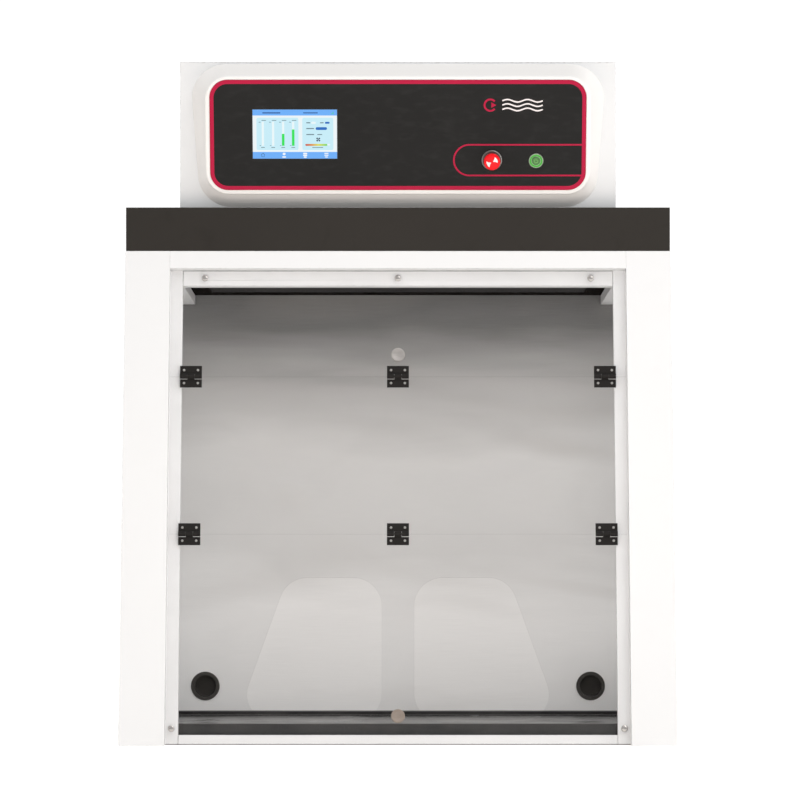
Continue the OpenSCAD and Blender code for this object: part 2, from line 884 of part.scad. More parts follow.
module estop_head() {
    r = estop_d / 2;
    back = -overlay_out - estop_collar_t - estop_travel - 0.8;
    front = back - estop_head_t;
    color(RED) pod_frame() difference() {
        union() {
            translate([estop_x, 0, estop_v]) rotate([90, 0, 0]) rotate_extrude()
                difference() {
                    union() {
                        translate([0, -back]) square([r - 3, 8]);
                        translate([0, 5 - back]) square([r, estop_head_t - 8]);
                        intersection() {
                            translate([0, -front - estop_dome_r]) circle(estop_dome_r, $fn = 128);
                            translate([0, -front - 3.01]) square([r, 4]);
                        }
                    }
                }
        }
        rod(estop_x, estop_v, estop_stem_r + slide_play, -overlay_out - 12 - slide_play, 10);
    }
}

module power_collar() {
    color(GREEN) pod_frame() difference() {
        union() {
            rod(power_x, power_v, power_d / 2, -overlay_out - power_collar_t, -overlay_out);
            rod(power_x, power_v, power_barrel_r, -overlay_out, barrel_depth);
        }
        rod(power_x, power_v, power_cap_r + slide_play, -10, 30);
    }
}

module power_button() {
    color(GREEN) pod_frame() rod(power_x, power_v, power_cap_r, -overlay_out - power_cap_out, 20);
}

// ---------------------------------------------------------------- sash

// Screw places of one row of hinges; up is 1 above the hinge line and -1 below it
function leaf_screws(v, up) = [
    for (x = [-hinge_pitch, 0, hinge_pitch], s = [-1, 1])
        [x + s * hinge_screw_x, v + up * hinge_screw_v]
];

module acrylic_panel(v0, v1, holes) {
    color(CLEAR) raked() difference() {
        block([-sash_w / 2, sash_recess, v0], [sash_w / 2, sash_back, v1]);
        for (h = holes) rod(h[0], h[1], h[2] + hole_play, sash_recess - 1, sash_back + 1);
        children();
    }
}

// Adds a hole radius to each place
function holes_at(places, r) = [for (p = places) [p[0], p[1], r]];

clamp_places = [[-clamp_screw_x, clamp_screw_v], [0, clamp_screw_v], [clamp_screw_x, clamp_screw_v]];

module fixed_panel() {
    acrylic_panel(upper_hinge_v + panel_gap / 2, header_v - gap, concat(
        holes_at(leaf_screws(upper_hinge_v, 1), hinge_screw_r),
        holes_at(clamp_places, dome_shank_r), [[0, magnet_v, knob_post_r]]));
}

module middle_panel() {
    acrylic_panel(lower_hinge_v + panel_gap / 2, upper_hinge_v - panel_gap / 2, concat(
        holes_at(leaf_screws(upper_hinge_v, -1), hinge_screw_r),
        holes_at(leaf_screws(lower_hinge_v, 1), hinge_screw_r)));
}

module lower_panel() {
    acrylic_panel(sash_bottom_v, lower_hinge_v - panel_gap / 2, concat(
        holes_at(leaf_screws(lower_hinge_v, -1), hinge_screw_r),
        holes_at([[-stud_x, stud_v], [stud_x, stud_v]], dome_shank_r),
        [[0, knob_v, knob_post_r]])
    )
        both_sides() upright(sash_recess - 1, sash_back + 1) hand_port();
}

// Outline of one hand port: straight inner side, slanted outer side
module hand_port() {
    slant = atan((port_sill_w - port_head_w) / port_h);
    low = port_sill_v + port_r;
    high = port_sill_v + port_h - port_r;
    reach = port_r / cos(slant);
    fall = (port_sill_w - port_head_w) / port_h;
    x0 = port_inner_x + port_r;
    x_low = port_inner_x + port_sill_w - fall * port_r - reach;
    x_high = port_inner_x + port_head_w + fall * port_r - reach;
    rounded_outline([[x0, low], [x_low, low], [x_high, high], [x0, high]], port_r);
}

// Disc on the panel's face with a post through it and a thin nut behind
module face_disc(v, finish) {
    color(finish) raked() {
        rod(0, v, knob_d / 2, sash_recess - knob_t + knob_edge, sash_recess);
        rod(0, v, knob_d / 2 - knob_edge, sash_recess - knob_t, sash_recess);
        rod(0, v, knob_post_r, sash_recess, sash_back + knob_nut_t);
        rod(0, v, knob_nut_r, sash_back, sash_back + knob_nut_t);
    }
}

module magnet_disc() {
    face_disc(magnet_v, LIGHT_GREY);
}

module pull_knob() {
    face_disc(knob_v, LIGHT_GREY);
}

// Domed screw head on a face at depth y, with its shank to y1
module dome_screw(x, v, y, y1) {
    ball_r = (dome_r * dome_r + dome_h * dome_h) / (2 * dome_h);
    translate([x, y, v]) rotate([90, 0, 0]) intersection() {
        translate([0, 0, dome_h - ball_r]) sphere(ball_r);
        cylinder(r = dome_r, h = dome_h);
    }
    rod(x, v, dome_shank_r, y, y1);
}

module catch_studs() {
    color(STEEL) raked() both_sides() dome_screw(stud_x, stud_v, sash_recess, sash_back);
}

module clamp_screws() {
    color(STEEL) raked() for (p = clamp_places)
        dome_screw(p[0], p[1], sash_recess, strip_y + strip_t + 3);
}

// One hinge leaf: outer leaves carry the two end knuckles, inner leaves the middle one
module hinge_leaf(v, up, outer) {
    half = leaf_half;
    inner_edge = 0.3;
    bore = outer ? pin_r + 0.01 : pin_r + pin_play;
    spans = outer
        ? [[-half, -knuckle_half - knuckle_gap], [knuckle_half + knuckle_gap, half]]
        : [[-knuckle_half + knuckle_gap, knuckle_half - knuckle_gap]];
    cuts = outer
        ? [[-knuckle_half - knuckle_gap, knuckle_half + knuckle_gap]]
        : [[-half - 1, -knuckle_half + knuckle_gap], [knuckle_half - knuckle_gap, half + 1]];
    translate([0, 0, v]) scale_up(up) difference() {
        union() {
            upright(sash_recess - leaf_t, sash_recess) difference() {
                translate([-half, inner_edge]) square([hinge_size, half - inner_edge]);
                for (c = cuts) translate([c[0], -1]) square([c[1] - c[0], notch_half + 1]);
            }
            for (s = spans) translate([s[0], axis_y, 0]) rotate([0, 90, 0])
                cylinder(r = barrel_r, h = s[1] - s[0]);
        }
        translate([-half - 1, axis_y, 0]) rotate([0, 90, 0])
            cylinder(r = bore, h = hinge_size + 2);
        for (x = [-hinge_screw_x, hinge_screw_x])
            rod(x, hinge_screw_v, hinge_screw_r + hole_play,
                sash_recess - leaf_t - 1, sash_recess + 1);
    }
}

// Turns a leaf drawn above the hinge line to the other side
module scale_up(up) {
    if (up > 0) children();
    else mirror([0, 0, 1]) children();
}

module hinge_row(v, up, outer) {
    color(BLACK) raked() for (x = [-hinge_pitch, 0, hinge_pitch])
        translate([x, 0, 0]) hinge_leaf(v, up, outer);
}

module hinge_pins(v) {
    color(STEEL) raked() for (x = [-hinge_pitch, 0, hinge_pitch])
        translate([x - leaf_half, axis_y, v]) rotate([0, 90, 0])
            cylinder(r = pin_r, h = hinge_size);
}

// Pan head screws through leaf and panel, with a low nut behind the panel
module leaf_fasteners(places) {
    face = sash_recess - leaf_t;
    color(STEEL) raked() for (p = places) {
        rod(p[0], p[1], leaf_screw_r, face - leaf_screw_head, face);
        rod(p[0], p[1], hinge_screw_r, face, sash_back + 2);
        rod(p[0], p[1], leaf_screw_r, sash_back, sash_back + leaf_nut_t);
    }
}

module middle_leaf_screws() {
    leaf_fasteners(concat(leaf_screws(upper_hinge_v, -1), leaf_screws(lower_hinge_v, 1)));
}

base_pan();
worktop();
side_panel(-1);  // side_panel_left
side_panel(1);  // side_panel_right
side_window(-1);  // side_window_left
side_window(1);  // side_window_right
back_wall();
cable_port(-1);  // cable_port_left
cable_port(1);  // cable_port_right
header_panel();
frame_strip(-1);  // frame_strip_left
frame_strip(1);  // frame_strip_right
cross_bar();
bottom_rail();
deck_rail(-1);  // deck_rail_left
deck_rail(1);  // deck_rail_right
ceiling_deck();
prefilter();
filter_housing();
carbon_filter();
filter_gasket();
head_shell();
head_cover();
exhaust_guard();
blower_plate();
inlet_ring();
impeller();
motor_shaft();
fan_motor();
motor_bracket();
mains_inlet();
power_supply();
pod_bezel();
control_overlay();
overlay_trim();
touch_display();
controller_board();
estop_collar();
estop_stem();
estop_head();
power_collar();
power_button();
fixed_panel();
middle_panel();
lower_panel();
magnet_disc();
pull_knob();
catch_studs();
clamp_screws();
hinge_row(upper_hinge_v, 1, true);  // upper_hinge_fixed_leaves
hinge_row(upper_hinge_v, -1, false);  // upper_hinge_moving_leaves
hinge_pins(upper_hinge_v);  // upper_hinge_pins
hinge_row(lower_hinge_v, 1, true);  // lower_hinge_upper_leaves
hinge_row(lower_hinge_v, -1, false);  // lower_hinge_lower_leaves
hinge_pins(lower_hinge_v);  // lower_hinge_pins
leaf_fasteners(leaf_screws(upper_hinge_v, 1));  // fixed_leaf_screws
middle_leaf_screws();
leaf_fasteners(leaf_screws(lower_hinge_v, -1));  // lower_leaf_screws
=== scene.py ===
"""Finished looks of a benchtop filtering fume hood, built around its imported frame."""

import json
import logging
import math
from collections.abc import Callable, Iterable, Sequence
from dataclasses import dataclass, field
from enum import Enum
from typing import Any, Self

import bmesh
import bpy
from mathutils import Matrix, Vector

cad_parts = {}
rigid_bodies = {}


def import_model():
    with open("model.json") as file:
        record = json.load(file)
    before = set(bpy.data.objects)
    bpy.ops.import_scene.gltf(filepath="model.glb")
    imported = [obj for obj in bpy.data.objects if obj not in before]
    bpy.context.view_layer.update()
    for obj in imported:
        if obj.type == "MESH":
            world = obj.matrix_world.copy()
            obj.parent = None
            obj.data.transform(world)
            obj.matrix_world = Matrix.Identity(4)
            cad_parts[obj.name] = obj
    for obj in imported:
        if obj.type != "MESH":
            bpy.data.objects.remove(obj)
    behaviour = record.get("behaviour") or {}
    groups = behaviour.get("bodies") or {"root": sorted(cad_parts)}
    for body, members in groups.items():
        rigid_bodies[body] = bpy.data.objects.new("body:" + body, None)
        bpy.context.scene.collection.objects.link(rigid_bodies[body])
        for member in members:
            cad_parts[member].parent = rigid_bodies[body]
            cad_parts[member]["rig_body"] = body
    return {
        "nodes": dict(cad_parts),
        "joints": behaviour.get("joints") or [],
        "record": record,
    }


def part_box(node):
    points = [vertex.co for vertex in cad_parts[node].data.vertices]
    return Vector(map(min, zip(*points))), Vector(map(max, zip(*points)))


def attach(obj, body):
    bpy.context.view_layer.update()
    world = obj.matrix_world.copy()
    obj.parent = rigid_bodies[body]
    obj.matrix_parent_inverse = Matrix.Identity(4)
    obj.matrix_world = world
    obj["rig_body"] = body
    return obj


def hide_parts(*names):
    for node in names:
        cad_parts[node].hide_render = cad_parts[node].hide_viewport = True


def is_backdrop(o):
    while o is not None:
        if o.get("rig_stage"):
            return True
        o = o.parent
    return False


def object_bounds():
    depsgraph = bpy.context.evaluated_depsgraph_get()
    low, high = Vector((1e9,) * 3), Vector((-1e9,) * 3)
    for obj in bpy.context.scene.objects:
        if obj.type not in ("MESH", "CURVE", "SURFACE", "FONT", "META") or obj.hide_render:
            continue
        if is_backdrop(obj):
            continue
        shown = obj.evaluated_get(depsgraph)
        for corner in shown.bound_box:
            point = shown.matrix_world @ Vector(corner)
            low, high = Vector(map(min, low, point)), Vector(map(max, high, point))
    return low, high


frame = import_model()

MM = 0.001
CAMERA_AT = Vector((0.0, -6.867, 0.583))
CAMERA_LENS = 165.0
CAMERA_SHIFT = (0.00256, 0.025)

Point = tuple[float, float]
Colour = tuple[float, float, float]
log = logging.getLogger("fume_hood")


# ---------------------------------------------------------------- node trees


class Signal:
    """A node's output socket that takes part in arithmetic."""

    def __init__(self, graph: "Graph", socket: bpy.types.NodeSocket) -> None:
        """Wraps one output socket of a graph."""
        self.graph = graph
        self.socket = socket

    def _with(self, operation: str, left: Any, right: Any) -> "Signal":
        """Adds the Math node for one operation and returns its result."""
        return self.graph.node("ShaderNodeMath", {"operation": operation}, {0: left, 1: right})

    def __add__(self, other: Any) -> "Signal":
        """Sum of this and another value."""
        return self._with("ADD", self, other)

    def __sub__(self, other: Any) -> "Signal":
        """This less another value."""
        return self._with("SUBTRACT", self, other)

    def __rsub__(self, other: Any) -> "Signal":
        """Another value less this."""
        return self._with("SUBTRACT", other, self)

    def __mul__(self, other: Any) -> "Signal":
        """Product of this and another value."""
        return self._with("MULTIPLY", self, other)

    __radd__ = __add__
    __rmul__ = __mul__

    def __gt__(self, other: Any) -> "Signal":
        """One where this is above another value, else zero."""
        return self._with("GREATER_THAN", self, other)


class Graph:
    """A node tree with one way to add any node."""

    def __init__(self, tree: bpy.types.NodeTree) -> None:
        """Starts on an empty tree."""
        self.tree = tree
        tree.nodes.clear()

    def node(
        self,
        kind: str,
        settings: dict[str, Any] | None = None,
        inputs: dict[int | str, Any] | None = None,
        output: int | str = 0,
    ) -> Signal:
        """Adds a node.

        Args:
            kind: The node's type name.
            settings: Its properties, set first; "stops" holds a ramp's places and colours.
            inputs: Values or signals for its input sockets, by name or number.
            output: The output socket that is returned.

        Returns:
            The chosen output as a signal.
        """
        made = self.tree.nodes.new(kind)
        for key, value in (settings or {}).items():
            if key == "stops":
                self._set_stops(made.color_ramp, value)
            else:
                setattr(made, key, value)
        for key, value in (inputs or {}).items():
            if isinstance(value, Signal):
                self.tree.links.new(value.socket, made.inputs[key])
            else:
                made.inputs[key].default_value = value
        return Signal(self, made.outputs[output]) if len(made.outputs) else Signal(self, None)

    @staticmethod
    def _set_stops(ramp: bpy.types.ColorRamp, stops: Sequence[tuple[float, Colour]]) -> None:
        """Gives a colour ramp its stops."""
        while len(ramp.elements) < len(stops):
            ramp.elements.new(1.0)
        for element, (place, colour) in zip(ramp.elements, stops):
            element.position = place
            element.color = (*colour, 1.0)


class Shader(Graph):
    """A material's node tree and the patterns that the finishes share."""

    def __init__(self, name: str) -> None:
        """Makes the material and clears its tree."""
        self.material = bpy.data.materials.new(name)
        self.material.use_nodes = True
        super().__init__(self.material.node_tree)

    def place(self, scale: Sequence[float] = (1, 1, 1), centre: Sequence[float] = (0, 0, 0)) -> Signal:
        """The piece's own coordinates, stretched and centred."""
        where = self.node("ShaderNodeTexCoord", output="Object")
        shift = [-c * s for c, s in zip(centre, scale)]
        return self.node("ShaderNodeMapping", None, {"Vector": where, "Location": shift, "Scale": scale})

    def noise(
        self, scale: float, detail: float = 2.0, stretch: Sequence[float] = (1, 1, 1), warp: float = 0.0
    ) -> Signal:
        """Cloudy noise from 0 to 1, scale being its patches in a metre."""
        values = {"Vector": self.place(stretch), "Scale": scale, "Detail": detail, "Distortion": warp}
        return self.node("ShaderNodeTexNoise", None, values, "Fac")

    def height(self) -> Signal:
        """Height above the bench in metres."""
        return self.node("ShaderNodeSeparateXYZ", None, {0: self.place()}, "Z")

    def edge(self) -> Signal:
        """One on a piece's rounded edges, zero on its faces."""
        return self.node("ShaderNodeAttribute", {"attribute_name": "edge"}, None, "Fac")

    def ramp(self, factor: Signal, stops: Sequence[tuple[float, Colour]]) -> Signal:
        """Colour along a ramp."""
        return self.node("ShaderNodeValToRGB", {"stops": stops}, {"Fac": factor}, "Color")

    def level(self, factor: Signal, low: float, high: float) -> Signal:
        """Stretches the span from low to high onto 0 to 1, held at its ends."""
        values = {"Value": factor, "From Min": low, "From Max": high}
        return self.node("ShaderNodeMapRange", {"clamp": True}, values, "Result")

    def mix(self, factor: Any, first: Any, second: Any) -> Signal:
        """Blend of two colours."""
        pair = [c if isinstance(c, Signal) else (*c, 1.0) for c in (first, second)]
        return self.node("ShaderNodeMix", {"data_type": "RGBA"}, {0: factor, 6: pair[0], 7: pair[1]}, 2)

    def bump(self, height: Signal, strength: float, distance: float, under: Signal | None = None) -> Signal:
        """Relief in metres from a height signal, over another relief if one is given."""
        values: dict[int | str, Any] = {"Height": height, "Strength": strength, "Distance": distance}
        if under is not None:
            values["Normal"] = under
        return self.node("ShaderNodeBump", None, values)

    def principled(self, **values: Any) -> Signal:
        """The main shader, with socket names written with underscores."""
        named = {key.replace("_", " "): value for key, value in values.items()}
        return self.node("ShaderNodeBsdfPrincipled", None, named)

    def finish(self, surface: Signal) -> bpy.types.Material:
        """Joins a shader to the output and returns the material."""
        self.node("ShaderNodeOutputMaterial", None, {"Surface": surface})
        return self.material


# ---------------------------------------------------------------- finishes


MADE: dict[str, bpy.types.Material] = {}


@dataclass(frozen=True)
class Finish:
    """A named surface finish, made once and shared."""

    name: str

    def material(self) -> bpy.types.Material:
        """The finish's material, made when first asked for."""
        if self.name not in MADE:
            shader = Shader(self.name)
            MADE[self.name] = shader.finish(self.surface(shader))
        return MADE[self.name]

    def surface(self, s: Shader) -> Signal:
        """The finish's shader."""
        raise NotImplementedError


@dataclass(frozen=True)
class PowderCoat(Finish):
    """Baked powder paint on sheet steel, with its orange peel, faint marks and rubbed edges."""

    colour: Colour = (0.8, 0.8, 0.8)
    rubbed: Colour = (0.6, 0.6, 0.6)
    roughness: float = 0.42
    peel: float = 650.0
    peel_depth: float = 0.12
    unevenness: float = 0.03
    specular: float = 0.4

    def surface(self, s: Shader) -> Signal:
        """Paint whose tone drifts slowly, a little worn on the edges."""
        drift = s.noise(3.1, 3.0)
        marks = s.level(s.noise(27.0, 6.0, warp=0.6), 0.58, 0.78)
        darker = tuple(c * (1.0 - 2.4 * self.unevenness) for c in self.colour)
        worn = s.edge() * s.level(s.noise(160.0, 4.0), 0.5, 0.62)
        paint = s.mix(s.level(drift, 0.3, 0.7) * 0.5 + marks * 0.35, self.colour, darker)
        peel = s.bump(s.noise(self.peel, 2.0), self.peel_depth, 0.0006)
        return s.principled(
            Base_Color=s.mix(worn * 0.55, paint, self.rubbed),
            Roughness=self.roughness + (drift - 0.5) * 0.10 + marks * 0.07 + worn * 0.1,
            Normal=s.bump(drift, 0.05, 0.01, peel),
            Specular_IOR_Level=self.specular,
        )


@dataclass(frozen=True)
class SheetMetal(Finish):
    """Bare or galvanised sheet with a grain drawn along one axis."""

    colour: Colour = (0.6, 0.6, 0.6)
    shade: Colour = (0.5, 0.5, 0.5)
    roughness: float = 0.38
    metallic: float = 1.0
    grain: tuple[float, float, float] = (6.0, 300.0, 300.0)
    spangle: float = 0.0

    def surface(self, s: Shader) -> Signal:
        """Metal whose streaks change its tone and gloss."""
        streaks = s.noise(3.0, 3.0, self.grain)
        cloud = s.noise(5.0, 4.0, warp=0.8)
        worn = s.edge() * 0.3
        tone = s.mix(streaks * 0.55 + cloud * 0.45, self.colour, self.shade)
        if self.spangle:
            cells = s.node(
                "ShaderNodeTexVoronoi", {"feature": "F1"},
                {"Vector": s.place(), "Scale": self.spangle}, "Color",
            )
            grey = s.node("ShaderNodeSeparateColor", None, {0: cells}, 0)
            tone = s.mix(grey * 0.22, tone, self.shade)
        return s.principled(
            Base_Color=s.mix(worn, tone, (0.82, 0.82, 0.81)),
            Metallic=self.metallic,
            Roughness=self.roughness + (streaks - 0.5) * 0.2 + (cloud - 0.5) * 0.12,
            Normal=s.bump(streaks, 0.05, 0.0004),
        )


@dataclass(frozen=True)
class WallSheet(Finish):
    """Satin liner sheet with painted shade by height: dark under the deck, light towards the worktop."""

    low_z: float = 0.0
    high_z: float = 0.9

    def surface(self, s: Shader) -> Signal:
        """Sheet with painted shade by height, soft painted light patches in a warmer grey, wiped streaks and a
        drawn grain.
        """
        climb = s.level(s.height(), self.low_z, self.high_z)
        painted_light_bands = s.noise(1.9, 2.0, (0.55, 1.0, 1.9), warp=0.9)
        wipes = s.noise(2.4, 4.0, (1.0, 1.0, 7.0), warp=0.5)
        grain = s.noise(3.0, 3.0, (5.0, 200.0, 420.0))
        # Painted shade and light by height: near white at the worktop, near black under the deck.
        tone = s.ramp(
            climb + (painted_light_bands - 0.5) * 0.30 + (wipes - 0.5) * 0.10,
            [(0.0, (0.97, 0.965, 0.955)), (0.2, (0.93, 0.92, 0.91)), (0.34, (0.74, 0.73, 0.72)),
             (0.54, (0.77, 0.76, 0.75)), (0.70, (0.55, 0.54, 0.53)), (0.85, (0.175, 0.172, 0.169)),
             (1.0, (0.11, 0.108, 0.106))],
        )
        # Painted light patches: soft noise pulls the tone towards a warmer grey.
        painted_light_tone = s.mix(s.level(painted_light_bands, 0.5, 0.8) * 0.5, tone, (0.60, 0.56, 0.52))
        return s.principled(
            Base_Color=s.mix((grain - 0.5) * 0.25 + 0.1, painted_light_tone, (0.5, 0.5, 0.5)),
            Metallic=0.08 + s.level(climb, 0.15, 0.7) * 0.3,
            Roughness=0.46 + (grain - 0.5) * 0.12 + (wipes - 0.5) * 0.18,
            Normal=s.bump(grain, 0.05, 0.0003),
        )


@dataclass(frozen=True)
class Moulding(Finish):
    """Moulded plastic with a fine eroded texture and handling marks."""

    colour: Colour = (0.05, 0.05, 0.05)
    roughness: float = 0.4
    texture: float = 1800.0
    texture_depth: float = 0.08
    coat: float = 0.0
    marks: float = 0.06
    specular: float = 0.4

    def surface(self, s: Shader) -> Signal:
        """Plastic with faint cloudiness and rubbed edges."""
        cloud = s.noise(9.0, 4.0, warp=0.4)
        smear = s.level(s.noise(38.0, 5.0, (1.0, 1.0, 2.5)), 0.5, 0.75)
        lighter = tuple(c + (1.0 - c) * 0.05 for c in self.colour)
        darker = tuple(c * (1.0 - self.marks * 2.0) for c in self.colour)
        body = s.mix(cloud, self.colour, darker)
        return s.principled(
            Base_Color=s.mix(s.edge() * 0.5 + smear * self.marks, body, lighter),
            Roughness=self.roughness + (cloud - 0.5) * 0.12 + smear * self.marks,
            Normal=s.bump(s.noise(self.texture, 2.0), self.texture_depth, 0.0004),
            Specular_IOR_Level=self.specular,
            Coat_Weight=self.coat,
            Coat_Roughness=0.12,
        )


@dataclass(frozen=True)
class Polished(Finish):
    """Plated or turned metal with hairline scratches."""

    colour: Colour = (0.8, 0.8, 0.8)
    roughness: float = 0.12
    hairlines: float = 0.1
    turned_about: tuple[float, float, float] | None = None

    def surface(self, s: Shader) -> Signal:
        """Mirror metal, with turning marks where the piece was turned."""
        lines = s.noise(60.0, 4.0, (1.0, 9.0, 2.0))
        if self.turned_about is None:
            relief = lines
        else:
            relief = s.node(
                "ShaderNodeTexWave",
                {"wave_type": "RINGS", "rings_direction": "SPHERICAL"},
                {"Vector": s.place(centre=self.turned_about), "Scale": 900.0, "Distortion": 0.3}, "Fac",
            )
        dull = tuple(c * 0.86 for c in self.colour)
        return s.principled(
            Base_Color=s.mix(s.level(lines, 0.35, 0.7), self.colour, dull),
            Metallic=1.0,
            Roughness=self.roughness + s.level(lines, 0.4, 0.8) * self.hairlines,
            Normal=s.bump(relief, 0.10, 0.0002),
        )


@dataclass(frozen=True)
class Resin(Finish):
    """Cast black worktop, polished and lightly dusted."""

    colour: Colour = (0.02, 0.02, 0.02)
    roughness: float = 0.14

    def surface(self, s: Shader) -> Signal:
        """Gloss with a thin uneven film and wipe marks."""
        film = s.level(s.noise(7.0, 5.0, (1.0, 2.0, 1.0), warp=1.0), 0.35, 0.75)
        specks = s.level(s.noise(420.0, 2.0), 0.66, 0.74)
        body = s.mix(film * 0.35 + specks * 0.25, self.colour, (0.09, 0.085, 0.08))
        return s.principled(
            Base_Color=s.mix(s.edge() * 0.5, body, (0.14, 0.13, 0.125)),
            Roughness=self.roughness + film * 0.16,
            Normal=s.bump(s.noise(55.0, 3.0), 0.03, 0.001),
        )


@dataclass(frozen=True)
class FibrePad(Finish):
    """Needled or pleated filter medium."""

    colour: Colour = (0.16, 0.16, 0.17)

    def surface(self, s: Shader) -> Signal:
        """Tangled fibres, lighter on the tufts."""
        tangle = s.noise(500.0, 6.0, (1.0, 1.0, 3.0), warp=2.0)
        tufts = s.noise(60.0, 4.0, warp=1.0)
        pale = tuple(min(1.0, c * 2.2) for c in self.colour)
        return s.principled(
            Base_Color=s.mix(s.level(tangle * 0.6 + tufts * 0.4, 0.35, 0.65), self.colour, pale),
            Roughness=0.85 + (tufts - 0.5) * 0.2,
            Normal=s.bump(tangle, 0.7, 0.0015, s.bump(tufts, 0.5, 0.003)),
        )


@dataclass(frozen=True)
class ClearSheet(Finish):
    """Clear cast acrylic, seen through, with a gloss that grows at a slant and a painted glow where glow is set.
    """

    tint: Colour = (0.93, 0.935, 0.94)
    gloss: float = 0.05
    haze: float = 0.03
    body: Colour = (0.86, 0.88, 0.9)
    # Strength of a painted glow of the body colour, emitted though the sheet is no lamp.
    glow: float = 0.0

    def surface(self, s: Shader) -> Signal:
        """Tinted passage mixed with gloss by the angle of view, a few smears, and a painted glow of the body
        colour.
        """
        smear = s.level(s.noise(4.0, 5.0, (1.0, 1.0, 1.6), warp=1.2), 0.5, 0.8)
        passage = s.node("ShaderNodeBsdfTransparent", None, {"Color": (*self.tint, 1.0)})
        gloss_and_painted_glow = s.principled(
            Base_Color=(*self.body, 1.0),
            Roughness=self.gloss + smear * 0.10,
            Specular_IOR_Level=0.5,
            # Painted glow: the sheet emits its body colour at the glow strength.
            Emission_Color=(*self.body, 1.0),
            Emission_Strength=self.glow,
        )
        behind = s.node("ShaderNodeNewGeometry", output="Backfacing")
        slant = s.node("ShaderNodeFresnel", None, {"IOR": 1.2}) * (1.0 - behind)
        return s.node(
            "ShaderNodeMixShader", None, {0: slant + self.haze + smear * 0.02, 1: passage, 2: gloss_and_painted_glow}
        )


@dataclass(frozen=True)
class LitPrint(Finish):
    """A lit area of the display."""

    colour: Colour = (1.0, 1.0, 1.0)
    glow: float = 0.9

    def surface(self, s: Shader) -> Signal:
        """Light through a faint dot grid, behind a glossy front."""
        dots = s.noise(2600.0, 1.0)
        shown = s.mix(dots * 0.12, self.colour, tuple(c * 0.9 for c in self.colour))
        return s.principled(
            Base_Color=(0.02, 0.02, 0.02, 1.0),
            Roughness=0.12 + dots * 0.05,
            Emission_Color=shown,
            Emission_Strength=self.glow,
            Specular_IOR_Level=0.12,
        )


@dataclass(frozen=True)
class LitScale(Finish):
    """A lit bar that runs from red over yellow to green across the piece."""

    left_x: float = 0.0
    right_x: float = 1.0

    def surface(self, s: Shader) -> Signal:
        """Emission whose colour follows the distance across."""
        across = s.node("ShaderNodeSeparateXYZ", None, {0: s.place()}, "X")
        along = s.level(across, self.left_x, self.right_x)
        hues = s.ramp(along, [
            (0.0, (0.55, 0.02, 0.02)), (0.3, (0.75, 0.25, 0.02)), (0.6, (0.75, 0.75, 0.05)),
            (1.0, (0.1, 0.65, 0.1)),
        ])
        return s.principled(
            Base_Color=(0.02, 0.02, 0.02, 1.0), Roughness=0.14, Emission_Color=hues, Emission_Strength=0.9,
        )


